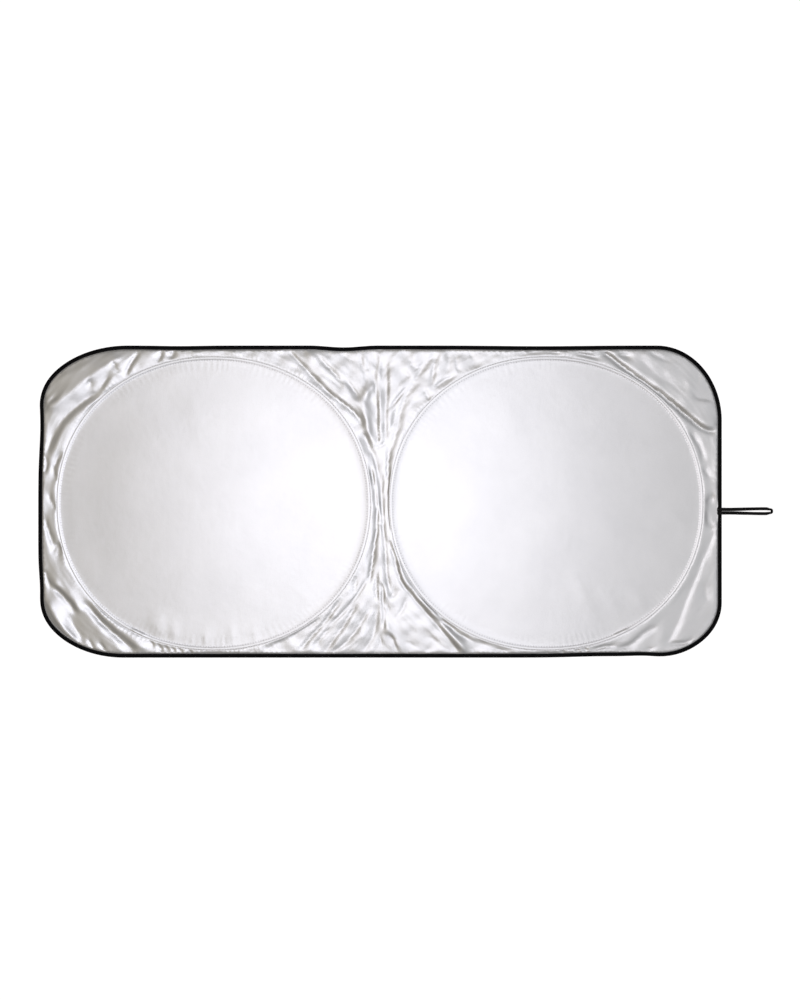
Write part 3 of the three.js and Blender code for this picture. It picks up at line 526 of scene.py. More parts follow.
def fold_line_end(sign, inset):
    return HALF_WIDTH - inset - float(top_sag(0.0)) if sign > 0 else inset - HALF_WIDTH


def ray_angles(side):
    """The rays from a hoop's centre, anticlockwise: first those to the fold line, then those to the edge."""
    to_top = math.atan2(fold_line_end(1, TAPE_MOUTH) - RING_Y, -side * RING_X)
    to_bottom = math.atan2(fold_line_end(-1, TAPE_MOUTH) - RING_Y, -side * RING_X)
    start, stop = (to_top, to_bottom) if side == RIGHT else (to_bottom, to_top)
    inner = (stop - start) % (2 * math.pi)
    to_fold = start + inner * np.arange(RAYS_TO_FOLD_LINE) / RAYS_TO_FOLD_LINE
    to_edge = start + inner + (2 * math.pi - inner) * np.arange(RAYS_TO_EDGE) / RAYS_TO_EDGE
    return np.concatenate([to_fold, to_edge])


def over_casing(outset, x, to_ferrule):
    """Height of the cloth across the casing, with the ferrule's bump."""
    along, up = np.array(CLOTH_OVER_CASING).T * MM
    tight_along, tight_up = np.array(CLOTH_OVER_CASING_MIDWAY).T * MM
    outward = ramp(np.abs(x), MIDWAY_FROM, MIDWAY_TO)
    bump = fading(to_ferrule, *FERRULE_BUMP_FADES)
    bump = bump * fading(np.abs(outset + WIRE_FROM_SEAM), *WIRE_BUMP_FADES)
    level = blend_between(np.interp(outset, tight_along, tight_up), np.interp(outset, along, up), outward)
    return level + FERRULE_LIFT * bump


class ClothMesh:
    """Gathers the cloth's corners, with what their height depends on, and its faces."""

    def __init__(self):
        self.rows = []
        self.faces = []
        self.on_fold_line = {}

    def add(self, point, zone, outset=0.0, from_tape=1.0, ray=0.0, side=0):
        self.rows.append((point[0], point[1], zone, outset, from_tape, ray, side))
        return len(self.rows) - 1

    def add_on_fold_line(self, point, **facts):
        """A corner on the fold line is shared by the two halves."""
        key = round(point[1] / (0.02 * MM))
        for near in (key, key - 1, key + 1):
            if near in self.on_fold_line:
                return self.on_fold_line[near]
        self.on_fold_line[key] = self.add(point, **facts)
        return self.on_fold_line[key]

    def join(self, row_a, row_b, places_a, places_b):
        """Joins two rows that run the same way with quads, and with triangles where one row is longer."""
        a, b = 0, 0
        while a < len(row_a) - 1 or b < len(row_b) - 1:
            ahead_a = places_a[a + 1] if a < len(row_a) - 1 else math.inf
            ahead_b = places_b[b + 1] if b < len(row_b) - 1 else math.inf
            if abs(ahead_a - ahead_b) < SAME_PLACE:
                self.faces.append((row_a[a], row_a[a + 1], row_b[b + 1], row_b[b]))
                a, b = a + 1, b + 1
            elif ahead_a < ahead_b:
                self.faces.append((row_a[a], row_a[a + 1], row_b[b]))
                a += 1
            else:
                self.faces.append((row_a[a], row_b[b + 1], row_b[b]))
                b += 1


def slack_places(reach, ends_at_tape):
    """Distances from the seam at which a ray has corners, up to its end."""
    lip = [reach - TAPE_LIP_WIDTH] if ends_at_tape else []
    stop = lip[0] if ends_at_tape else reach
    places = [x * MM for x in SEAM_LIP_OUTSETS if x * MM < stop - 0.5 * MM]
    away = (places[-1] if places else 0.0) + SLACK_STEP * 0.6
    while away < stop - SLACK_STEP / 2:
        places.append(away)
        away += SLACK_STEP
    return places + lip + [reach]


def add_half(cloth, side):
    """The cloth round one hoop: along each ray the casing, the slack cloth, and the edge in the tape."""
    angles = ray_angles(side)
    seam = seam_radius(angles)
    to_mouth = reach_along(side, angles, TAPE_MOUTH)
    to_inset = reach_along(side, angles, CLOTH_INSET)
    to_fold = RING_X / np.maximum(np.abs(np.cos(angles)), 1e-6)
    centre = ring_centre(side)
    rays = []
    for i, angle in enumerate(angles):
        heading = np.array([math.cos(angle), math.sin(angle)])
        meets_fold = i <= RAYS_TO_FOLD_LINE
        meets_tape = i == 0 or i >= RAYS_TO_FOLD_LINE
        casing = [cloth.add(centre + heading * (seam[i] + out * MM), ZONE_CASING, out * MM, 1.0, angle, side)
                  for out in CASING_OUTSETS]
        end = to_fold[i] if meets_fold else to_mouth[i]
        places = slack_places(end - seam[i], not meets_fold)
        slack = []
        for place in places:
            point = centre + heading * (seam[i] + place)
            from_tape = distance_to_tape(point) if meets_fold else end - seam[i] - place
            facts = dict(zone=ZONE_SLACK, outset=place, from_tape=from_tape, ray=angle, side=side)
            if meets_fold and place == places[-1]:
                point[0] = 0.0
                slack.append(cloth.add_on_fold_line(point, **facts))
            else:
                slack.append(cloth.add(point, **facts))
        edge = None
        if meets_tape and meets_fold:
            point = np.array([0.0, fold_line_end(math.sin(angle), CLOTH_INSET)])
            facts = dict(zone=ZONE_TAPE, outset=0.0, from_tape=0.0, ray=angle, side=side)
            edge = cloth.add_on_fold_line(point, **facts)
        elif meets_tape:
            edge = cloth.add(centre + heading * to_inset[i], ZONE_TAPE, 0.0, 0.0, angle, side)
        rays.append((casing, [casing[-1]] + slack, [0.0] + places, edge))
    for i, (casing, slack, places, edge) in enumerate(rays):
        next_casing, next_slack, next_places, next_edge = rays[(i + 1) % len(rays)]
        cloth.join(casing, next_casing, CASING_OUTSETS, CASING_OUTSETS)
        cloth.join(slack, next_slack, places, next_places)
        if i >= RAYS_TO_FOLD_LINE:
            cloth.faces.append((slack[-1], edge, next_edge, next_slack[-1]))
    add_disc(cloth, side, angles, seam, [ray[0][0] for ray in rays])


def add_disc(cloth, side, angles, seam, inner_row):
    """The flat cloth inside a hoop, in rings that have fewer corners towards the centre."""
    centre = ring_centre(side)
    outer = inner_row
    outer_every = 1
    for share, every in DISC_RINGS:
        row = []
        for i in range(0, len(angles), every):
            heading = np.array([math.cos(angles[i]), math.sin(angles[i])])
            distance = share * (seam[i] + CASING_OUTSETS[0] * MM)
            point = centre + heading * distance
            row.append(cloth.add(point, ZONE_DISC, distance - seam[i], 1.0, angles[i], side))
        ratio = every // outer_every
        for k in range(len(row)):
            first = k * ratio
            corners = [outer[(first + j) % len(outer)] for j in range(ratio + 1)]
            cloth.faces.append((*corners, row[(k + 1) % len(row)], row[k]))
        outer = row
        outer_every = every
    middle = cloth.add(centre, ZONE_DISC, -SEAM_ACROSS, 1.0, 0.0, side)
    for k in range(len(outer)):
        cloth.faces.append((outer[k], outer[(k + 1) % len(outer)], middle))


def drawn_in(points):
    """Moves places near the edge's dips inwards, most at the edge itself."""
    moved = points.copy()
    for pixel, depth, reach in EDGE_DIPS:
        spot = photo_place(pixel)
        sideways = abs(spot[0]) > HALF_LENGTH - 30 * MM
        inward = -np.sign(spot) * (np.array([1, 0]) if sideways else np.array([0, 1]))
        offset = points - spot
        along = offset[:, 1] if sideways else offset[:, 0]
        across = offset @ inward
        how_far = depth * MM * np.exp(-(along / (reach * MM)) ** 2) * fading(across, 0, DIPS_INWARDS)
        moved += np.outer(how_far, inward)
    return moved


def distance_to_ferrules(points):
    away = np.full(len(points), math.inf)
    for word in ("left", "right"):
        low, high = node_box(f"{word}_ring_ferrule")
        away = np.minimum(away, np.hypot(*(points - (low + high)[:2] / 2).T))
    return away


def distance_to_tape(point):
    sag = float(top_sag(point[0])) if point[1] > 0 else 0.0
    return max(0.0, HALF_WIDTH - TAPE_MOUTH - sag - abs(point[1]))


def smooth_route(pixels, per_span=8):
    """A smooth line through places read from the photograph (a Catmull-Rom curve)."""
    places = np.array([photo_place(pixel) for pixel in pixels])
    padded = np.vstack([2 * places[0] - places[1], places, 2 * places[-1] - places[-2]])
    line = []
    for i in range(len(places) - 1):
        before, start, end, after = padded[i:i + 4]
        for step in range(per_span):
            t = step / per_span
            line.append(0.5 * (2 * start + (end - before) * t
                               + (2 * before - 5 * start + 4 * end - after) * t ** 2
                               + (3 * start - before - 3 * end + after) * t ** 3))
    line.append(places[-1])
    return np.array(line)


def beside_route(points, line):
    """Signed distance from a line, positive on its left, how far along it each point lies, the line's
    length, and the nearest place on it."""
    starts = line[:-1]
    steps = line[1:] - starts
    lengths = np.linalg.norm(steps, axis=1)
    run = np.concatenate([[0], np.cumsum(lengths)])
    best = np.full(len(points), math.inf)
    signed = np.zeros(len(points))
    along = np.zeros(len(points))
    foot = np.zeros((len(points), 2))
    for i in range(len(starts)):
        offset = points - starts[i]
        share = np.clip(offset @ steps[i] / lengths[i] ** 2, 0, 1)
        distance = np.linalg.norm(offset - share[:, None] * steps[i], axis=1)
        here = starts[i] + share[:, None] * steps[i]
        nearer = distance < best
        turn = steps[i][0] * offset[:, 1] - steps[i][1] * offset[:, 0]
        best = np.where(nearer, distance, best)
        signed = np.where(nearer, np.copysign(distance, turn), signed)
        along = np.where(nearer, run[i] + share * lengths[i], along)
        foot = np.where(nearer[:, None], here, foot)
    return signed, along, run[-1], foot


def fold_lines():
    """Every line that holds the slack cloth, as (route, distance to its left, height, is a crease)."""
    for folds, share in REGIONS:
        for fold in folds:
            line = smooth_route(fold["route"])
            base = share * fold["height"] * MM
            yield line, 0.0, base, fold["is_crease"]
            for sign, beside in ((1, fold["left"]), (-1, fold["right"])):
                if beside is not None:
                    height, away = beside
                    yield line, sign * away * MM, base + share * height * MM, False


def near_route(points, line, margin):
    inside = (points > line.min(axis=0) - margin) & (points < line.max(axis=0) + margin)
    return np.flatnonzero(np.all(inside, axis=1))


def snap_to_creases(points, movable):
    """Moves the corners that lie close beside a crease onto it, so that the crease is a clean line."""
    best = np.full(len(points), SNAP_REACH)
    placed = points.copy()
    for line, _, _, is_crease in fold_lines():
        if is_crease:
            near = near_route(points, line, SLACK_STEP)
            near = near[movable[near]]
            distance, _, _, foot = beside_route(points[near], line)
            closer = np.abs(distance) < best[near]
            best[near[closer]] = np.abs(distance[closer])
            placed[near[closer]] = foot[closer]
    return placed


def held_by_lines(points):
    """How strongly the lines of the folds hold each corner, at what height, and how near a crease it is."""
    hold = np.zeros(len(points))
    aim = np.zeros(len(points))
    creased = np.zeros(len(points))
    for line, offset, height, is_crease in fold_lines():
        near = near_route(points, line, abs(offset) + LINE_REACH)
        distance, along, length, _ = beside_route(points[near], line)
        fade = min(FADE_SHARE * length, LONGEST_FADE)
        ends = ramp(along, 0, fade) * ramp(length - along, 0, fade)
        inside = (along > 0) & (along < length)
        closeness = np.clip(1 - np.abs(distance - offset) / LINE_REACH, 0, 1) * inside
        weight = LINE_HOLD * closeness * ends
        target = CREASE_HEIGHT + height
        hold[near] += weight
        aim[near] += weight * target
        if is_crease:
            creased[near] = np.maximum(creased[near], closeness * ends)
    return hold, aim / np.maximum(hold, 1e-9), creased


def stiffnesses(points, faces):
    """The sheet's edges, and how strongly each passes on height, from the shapes of its faces. A face with
    four corners counts as half of each way to cut it in two."""
    triangles, shares = [], []
    for face in faces:
        if len(face) == 3:
            triangles.append(face)
            shares.append(1.0)
        elif len(face) == 4:
            a, b, c, d = face
            triangles += [(a, b, c), (a, c, d), (b, c, d), (b, d, a)]
            shares += [0.5] * 4
    triangles = np.array(triangles)
    shares = np.array(shares)
    starts, ends, values = [], [], []
    for k in range(3):
        i, j, far = triangles[:, (k + 1) % 3], triangles[:, (k + 2) % 3], triangles[:, k]
        to_i, to_j = points[i] - points[far], points[j] - points[far]
        area = np.abs(to_i[:, 0] * to_j[:, 1] - to_i[:, 1] * to_j[:, 0])
        values.append(0.5 * shares * (to_i * to_j).sum(axis=1) / np.maximum(area, 1e-10))
        starts.append(np.minimum(i, j))
        ends.append(np.maximum(i, j))
    keys = np.concatenate(starts).astype(np.int64) * len(points) + np.concatenate(ends)
    unique, inverse = np.unique(keys, return_inverse=True)
    strength = np.maximum(np.bincount(inverse, np.concatenate(values)), 0.02)
    return unique // len(points), unique % len(points), np.minimum(strength, 20)


def stretched(starts, ends, strength, fixed, heights, hold, aim):
    """Heights of cloth drawn tight between its fixed corners and what holds it (conjugate gradients)."""
    free = ~fixed
    count = len(heights)

    def pulled(values):
        flow = strength * (values[starts] - values[ends])
        total = np.bincount(starts, flow, count) - np.bincount(ends, flow, count)
        return (total + hold * values) * free
    own = np.bincount(starts, strength, count) + np.bincount(ends, strength, count) + hold + 1e-9
    rest = (hold * aim) * free - pulled(np.where(fixed, heights, 0))
    solved = np.zeros(count)
    eased = rest / own
    step = eased.copy()
    size = rest @ eased
    for _ in range(SOLVER_ROUNDS):
        answer = pulled(step)
        share = size / (step @ answer)
        solved += share * step
        rest -= share * answer
        eased = rest / own
        new_size = rest @ eased
        if new_size < SOLVED:
            break
        step = eased + (new_size / size) * step
        size = new_size
    return np.where(fixed, heights, solved)


def rounded_crests(starts, ends, heights, movable):
    """Softens the crests a little and leaves the creases sharp."""
    count = len(heights)
    neighbours = np.bincount(starts, minlength=count) + np.bincount(ends, minlength=count)
    for _ in range(CREST_ROUNDING):
        total = np.bincount(starts, heights[ends], count) + np.bincount(ends, heights[starts], count)
        heights = heights + 0.5 * movable * (total / np.maximum(neighbours, 1) - heights)
    return heights


def wander(points, size, layer):
    """Smooth random values between about -1 and 1 that change over the given size."""
    return np.array([noise.noise(Vector((x / size, y / size, layer))) for x, y in points])


def arc_lengths(side):
    """How far along a hoop's stitches each angle lies, as a table for interpolation."""
    angles = np.linspace(-math.pi, 3 * math.pi, 4000)
    points = seam_point(side, angles)
    return angles, distances_along(points)


def wander_along(run, size, row, layer):
    """Smooth random values along a line."""
    return np.array([noise.noise(Vector((x / size, row, layer))) for x in run])


def gathers(run, row, size):
    """Uneven little pleats along a seam, between 0 and 1."""
    phase = wander_along(run, 6 * size, row, 0.5)
    depth = 0.5 + 0.9 * wander_along(run, 4 * size, row, 7.5)
    return np.clip(depth, 0.05, 1) * (0.5 + 0.5 * np.sin(2 * math.pi * run / size + 5 * phase))


def disc_waves(points):
    lift = np.zeros(len(points))
    for route, height, half_width in DISC_WAVES:
        line = smooth_route(route)
        distance, along, length, _ = beside_route(points, line)
        ends = ramp(along, 0, length / 2) * ramp(length - along, 0, length / 2)
        lift += height * MM * np.exp(-(distance / (half_width * MM)) ** 2) * ends
    return lift


def crinkles(run, away):
    """Small uneven creases that run along the seam."""
    return np.array([noise.noise(Vector((x / (42 * MM), y / (6.5 * MM), 3.1))) for x, y in zip(run, away)])


def disc_heights(points, outset, run, rim):
    """Heights of the tight cloth inside a hoop, which settles from its rim at the stitches to the disc."""
    past = -outset - INNER_ROW
    pleats = gathers(run, 3.3, DISC_PLEAT) * ramp(past, 0, 6 * MM) * fading(past, *DISC_PLEAT_FADES)
    waves = 0.6 * wander(points, 140 * MM, 4.0) + 0.2 * wander(points, 45 * MM, 9.0)
    level = CLOTH_ON_DISC + DISC_SWELL * (1 + waves)
    settled = blend_between(rim, level, ramp(past, 0, DISC_SETTLES_OVER))
    return settled + DISC_PLEAT_DEPTH * pleats + disc_waves(points)


def held_too(hold, aim, more, target):
    """Adds a second hold on the cloth. The height that it aims at becomes a mean by strength."""
    total = hold + more
    return total, (hold * aim + more * target) / np.maximum(total, 1e-9)


def small_forms(points, outset, from_tape, run, outward, free_of_loop):
    """Ripples and crinkles between the folds, and gathers along the seam and along the tape."""
    free = ramp(outset, 2 * MM, 9 * MM) * ramp(from_tape, 0, 8 * MM) * free_of_loop
    soft = blend_between(RIPPLE_DEPTH_MIDWAY, RIPPLE_DEPTH, outward) * wander(points, RIPPLE, 1.0)
    ripples = CRINKLE_DEPTH * crinkles(run, outset) + soft
    calm_corner = ramp(points[:, 0], 250 * MM, 500 * MM) * ramp(-points[:, 1], -150 * MM, -20 * MM)
    ripples *= blend_between(1.0, 0.5, calm_corner)
    at_seam = gathers(run, 1.7, SEAM_GATHER) * ramp(outset, 1.8 * MM, 4 * MM)
    at_seam *= fading(outset, *SEAM_GATHER_FADES)
    at_tape = gathers(points[:, 0] + points[:, 1], 8.8, TAPE_GATHER) * ramp(from_tape, 0, 2.5 * MM)
    at_tape *= fading(from_tape, *TAPE_GATHER_FADES)
    return free * ripples + (SEAM_GATHER_DEPTH * at_seam + TAPE_GATHER_DEPTH * at_tape) * free_of_loop


def cloth_shape(cloth):
    """The place of every corner of the cloth's upper side."""
    facts = np.array(cloth.rows)
    points = facts[:, :2]
    zone, outset, from_tape, ray, side = facts[:, 2:].T
    angles, lengths = arc_lengths(RIGHT)
    run = np.interp(ray, angles, lengths) + np.where(side > 0, RIGHT_RUN_OFFSET, 0)
    heights = over_casing(outset, points[:, 0], distance_to_ferrules(points))
    inner = (zone <= ZONE_CASING) & (outset < -INNER_ROW + 0.1 * MM)
    heights[inner] = disc_heights(points[inner], outset[inner], run[inner], heights[inner])

    slack = zone == ZONE_SLACK
    at_tape = slack & (from_tape < 0.1 * MM)
    fixed = ~slack | (outset < 2 * MM) | at_tape
    movable = slack & (outset > 5 * MM) & (from_tape > 3 * MM) & (np.abs(points[:, 0]) > 0.1 * MM)
    points = snap_to_creases(points, movable)
    heights[at_tape | (zone == ZONE_TAPE)] = CLOTH_IN_TAPE
    starts, ends, strength = stiffnesses(points, cloth.faces)
    hold, aim, creased = held_by_lines(points)

    lip = SEAM_LIP_HOLD * slack * fading(outset, *SEAM_LIP_FADES) * ramp(from_tape, 2 * MM, 8 * MM)
    hold, aim = held_too(hold, aim, lip, heights)
    by_tape = TAPE_LIP_HOLD * slack * ramp(from_tape, 0.5 * TAPE_LIP_WIDTH, TAPE_LIP_WIDTH)
    by_tape *= fading(from_tape, *TAPE_LIP_FADES) * ramp(outset, 6 * MM, 14 * MM)
    outward = ramp(np.abs(points[:, 0]), MIDWAY_FROM, MIDWAY_TO)
    lifted = blend_between(CLOTH_BY_TAPE_MIDWAY, CLOTH_BY_TAPE, outward)
    lifted = lifted + TAPE_LIP_WAVE_DEPTH * wander(points, TAPE_LIP_WAVE, 6.0)
    hold, aim = held_too(hold, aim, by_tape, lifted)
    from_loop = np.hypot(points[:, 0] - HALF_LENGTH, points[:, 1] - LOOP_Y)
    under_loop = fading(from_loop, *LOOP_PRESSES)
    hold = hold * (1 - under_loop) + LINE_HOLD * under_loop
    aim = blend_between(aim, CLOTH_UNDER_LOOP, under_loop)
    heights = stretched(starts, ends, strength, fixed, heights, hold, aim)
    heights = rounded_crests(starts, ends, heights, ~fixed * (1 - creased) * (from_tape > 3 * MM))

    heights[slack] += small_forms(points[slack], outset[slack], from_tape[slack], run[slack],
                                  outward[slack], 1 - under_loop[slack])
    loose = (slack & (outset > 2 * MM)) | (zone == ZONE_TAPE)
    points[loose] = drawn_in(points[loose])
    return np.column_stack([points, np.maximum(heights, LOWEST_CLOTH)])


def new_object(name, vertices, faces, materials, smooth=True):
    mesh = bpy.data.meshes.new(name)
    mesh.from_pydata([tuple(map(float, vertex)) for vertex in vertices], [], faces)
    mesh.validate()
    mesh.update()
    for material in materials:
        mesh.materials.append(material)
    if smooth:
        mesh.polygons.foreach_set("use_smooth", [True] * len(mesh.polygons))
    piece = bpy.data.objects.new(name, mesh)
    bpy.context.scene.collection.objects.link(piece)
    return piece


def apply_modifiers(piece):
    """Keeps what the modifiers make as the piece's own mesh."""
    evaluated = piece.evaluated_get(bpy.context.evaluated_depsgraph_get())
    made = bpy.data.meshes.new_from_object(evaluated)
    piece.modifiers.clear()
    piece.data = made


def make_cloth(materials):
    cloth = ClothMesh()
    add_half(cloth, LEFT)
    add_half(cloth, RIGHT)
    piece = new_object("silver_cloth", cloth_shape(cloth), cloth.faces, materials)
    solidify = piece.modifiers.new("thickness", "SOLIDIFY")
    solidify.thickness = CLOTH_THICKNESS
    solidify.offset = -1
    solidify.material_offset = 1
    solidify.use_even_offset = False
    face_up(piece)
    apply_modifiers(piece)
    return piece


def face_up(piece):
    """Turns every face of a sheet so that it looks up."""
    mesh = piece.data
    down = [p.index for p in mesh.polygons if p.normal.z < 0]
    for index in down:
        mesh.polygons[index].flip()
    mesh.update()


class Nodes:
    """Short calls for making the nodes of a material or of the world."""

    def __init__(self, owner, shader="Principled BSDF"):
        owner.use_nodes = True
        self.owner = owner
        self.tree = owner.node_tree
        self.shader = self.tree.nodes[shader]

    def node(self, kind, **settings):
        made = self.tree.nodes.new(kind)
        for key, value in settings.items():
            if key.startswith("in_"):
                made.inputs[key[3:].replace("_", " ")].default_value = value
            else:
                setattr(made, key, value)
        return made

    def link(self, source, target):
        self.tree.links.new(source, target)

    def feed(self, source, socket):
        """Links a value to one of the shader's sockets."""
        self.link(source, self.shader.inputs[socket])

    def set(self, **values):
        for key, value in values.items():
            self.shader.inputs[key.replace("_", " ")].default_value = value

    def place(self):
        return self.node("ShaderNodeTexCoord").outputs["Object"]

    def noise(self, vector, scale, detail, roughness=0.5):
        made = self.node("ShaderNodeTexNoise", in_Scale=scale, in_Detail=detail, in_Roughness=roughness)
        self.link(vector, made.inputs["Vector"])
        return made.outputs["Fac"]

    def wave(self, vector, scale, direction, distortion=0.0):
        made = self.node("ShaderNodeTexWave", in_Scale=scale, in_Distortion=distortion)
        made.bands_direction = direction
        self.link(vector, made.inputs["Vector"])
        return made.outputs["Fac"]

    def math(self, operation, a, b):
        made = self.node("ShaderNodeMath", operation=operation)
        for value, socket in ((a, made.inputs[0]), (b, made.inputs[1])):
            if isinstance(value, (int, float)):
                socket.default_value = value
            else:
                self.link(value, socket)
        return made.outputs[0]

    def between(self, factor, low, high):
        made = self.node("ShaderNodeMapRange", in_To_Min=low, in_To_Max=high)
        self.link(factor, made.inputs["Value"])
        return made.outputs[0]

    def colours(self, factor, stops):
        made = self.node("ShaderNodeValToRGB")
        ramp_stops = made.color_ramp.elements
        while len(ramp_stops) < len(stops):
            ramp_stops.new(0.5)
        for stop, (place, colour) in zip(ramp_stops, stops):
            stop.position = place
            stop.color = (*colour, 1)
        self.link(factor, made.inputs["Fac"])
        return made.outputs["Color"]

    def mix(self, blend, factor, a, b):
        """Two colours mixed. A colour or factor is a value or what another node gives."""
        made = self.node("ShaderNodeMix", data_type="RGBA", blend_type=blend)
        for value, name in ((factor, "Factor"), (a, "A"), (b, "B")):
            if isinstance(value, (float, tuple)):
                made.inputs[name].default_value = value
            else:
                self.link(value, made.inputs[name])
        return made.outputs["Result"]

    def bump(self, height, strength, distance, after=None):
        made = self.node("ShaderNodeBump", in_Strength=strength, in_Distance=distance)
        self.link(height, made.inputs["Height"])
        if after is not None:
            self.link(after, made.inputs["Normal"])
        return made.outputs["Normal"]


def new_material(name):
    nodes = Nodes(bpy.data.materials.new(name))
    return nodes, nodes.place()


def plain_weave(nodes, vector, pitch):
    """Crossed waves, each of which repeats after about two threads of the given pitch."""
    scale = 1 / (2 * math.pi * pitch)
    return nodes.math("ADD", nodes.wave(vector, scale, "X"), nodes.wave(vector, scale, "Y"))


def silver_material():
    nodes, vector = new_material("silver_cloth")
    mottle = nodes.noise(vector, scale=9.0, detail=4.0, roughness=0.55)
    fine = nodes.noise(vector, scale=260.0, detail=3.0, roughness=0.6)
    crinkle = nodes.noise(vector, scale=55.0, detail=3.0)
    greys = [(0.25, (0.775, 0.778, 0.786)), (0.75, (0.83, 0.832, 0.838))]
    nodes.feed(nodes.colours(mottle, greys), "Base Color")
    nodes.feed(nodes.between(fine, 0.31, 0.39), "Roughness")
    nodes.set(Metallic=0.72)
    crinkled = nodes.bump(crinkle, 0.25, 0.8 * MM)
    nodes.feed(nodes.bump(plain_weave(nodes, vector, 0.7 * MM), 0.25, 0.06 * MM, crinkled), "Normal")
    return nodes.owner


def lining_material():
    nodes, vector = new_material("cloth_back")
    mottle = nodes.noise(vector, scale=14.0, detail=3.0)
    greys = [(0.3, (0.56, 0.565, 0.575)), (0.7, (0.63, 0.633, 0.64))]
    nodes.feed(nodes.colours(mottle, greys), "Base Color")
    nodes.set(Roughness=0.8)
    nodes.feed(nodes.bump(plain_weave(nodes, vector, 0.7 * MM), 0.4, 0.08 * MM), "Normal")
    return nodes.owner


def black_tape_material():
    nodes, vector = new_material("black_binding")
    worn = nodes.noise(vector, scale=35.0, detail=3.0)
    blacks = [(0.3, (0.003, 0.003, 0.0035)), (0.75, (0.007, 0.007, 0.008))]
    nodes.feed(nodes.colours(worn, blacks), "Base Color")
    nodes.set(Roughness=0.95, Specular_IOR_Level=0.08)
    ribs = nodes.wave(vector, 220.0, "DIAGONAL", distortion=0.6)
    nodes.feed(nodes.bump(ribs, 0.5, 0.12 * MM), "Normal")
    return nodes.owner


def elastic_material():
    nodes, vector = new_material("black_elastic")
    worn = nodes.noise(vector, scale=60.0, detail=3.0)
    blacks = [(0.3, (0.004, 0.004, 0.0045)), (0.8, (0.009, 0.009, 0.01))]
    nodes.feed(nodes.colours(worn, blacks), "Base Color")
    nodes.set(Roughness=0.85, Specular_IOR_Level=0.25)
    picks = nodes.wave(vector, 330.0, "X", distortion=0.3)
    nodes.feed(nodes.bump(picks, 0.6, 0.15 * MM), "Normal")
    return nodes.owner


def thread_material(name, colour):
    nodes, vector = new_material(name)
    twist = nodes.wave(vector, 900.0, "DIAGONAL")
    darker = tuple(0.8 * part for part in colour)
    nodes.feed(nodes.colours(twist, [(0.2, darker), (0.8, colour)]), "Base Color")
    nodes.set(Roughness=0.6)
    return nodes.owner


def steel_material():
    nodes, vector = new_material("spring_steel")
    drawn = nodes.noise(vector, scale=420.0, detail=2.0)
    greys = [(0.3, (0.48, 0.49, 0.5)), (0.7, (0.58, 0.585, 0.6))]
    nodes.feed(nodes.colours(drawn, greys), "Base Color")
    nodes.feed(nodes.between(drawn, 0.26, 0.38), "Roughness")
    nodes.set(Metallic=1.0)
    return nodes.owner


def casing_material():
    nodes, vector = new_material("casing_tape")
    mottle = nodes.noise(vector, scale=40.0, detail=2.0)
    greys = [(0.3, (0.58, 0.58, 0.6)), (0.7, (0.66, 0.66, 0.68))]
    nodes.feed(nodes.colours(mottle, greys), "Base Color")
    nodes.set(Roughness=0.85)
    nodes.feed(nodes.bump(plain_weave(nodes, vector, 0.6 * MM), 0.5, 0.1 * MM), "Normal")
    return nodes.owner


def outline_points(step):
    """The shade's outline, anticlockwise, as evenly spaced points with the outward direction at each."""
    corners = [(1, 1, RIGHT_TOP_CORNER, 0), (-1, 1, LEFT_TOP_CORNER, 90),
               (-1, -1, LEFT_BOTTOM_CORNER, 180), (1, -1, RIGHT_BOTTOM_CORNER, 270)]
    dense = []
    for sign_x, sign_y, (along, across), start in corners:
        turn = np.radians(start + np.linspace(0, 90, 91))
        centre = np.array([sign_x * (HALF_LENGTH - along), sign_y * (HALF_WIDTH - across)])
        dense.append(centre + np.stack([along * np.cos(turn), across * np.sin(turn)], axis=1))
    path = np.vstack(dense + [dense[0][:1]])
    run = distances_along(path)
    fine = np.linspace(0, run[-1], 12001)[:-1]
    points = np.stack([np.interp(fine, run, path[:, k]) for k in (0, 1)], axis=1)
    points[:, 1] -= np.where(points[:, 1] > 0, top_sag(points[:, 0]), 0)
    closed = np.vstack([points, points[:1]])
    run = distances_along(closed)
    count = round(run[-1] / step)
    even = np.arange(count) * run[-1] / count
    points = np.stack([np.interp(even, run, closed[:, k]) for k in (0, 1)], axis=1)
    ahead = np.roll(points, -1, axis=0) - np.roll(points, 1, axis=0)
    normal = np.stack([ahead[:, 1], -ahead[:, 0]], axis=1)
    return drawn_in(points), normal / np.linalg.norm(normal, axis=1, keepdims=True), even


def lofted(rows, closed):
    """Faces over rows that each hold the same number of points round a section."""
    count = len(rows)
    sides = len(rows[0])
    faces = []
    for i in range(count if closed else count - 1):
        following = (i + 1) % count
        for j in range(sides):
            k = (j + 1) % sides
            faces.append((i * sides + j, i * sides + k, following * sides + k, following * sides + j))
    if not closed:
        faces.append(tuple(range(sides))[::-1])
        faces.append(tuple((count - 1) * sides + j for j in range(sides)))
    return [point for row in rows for point in row], faces


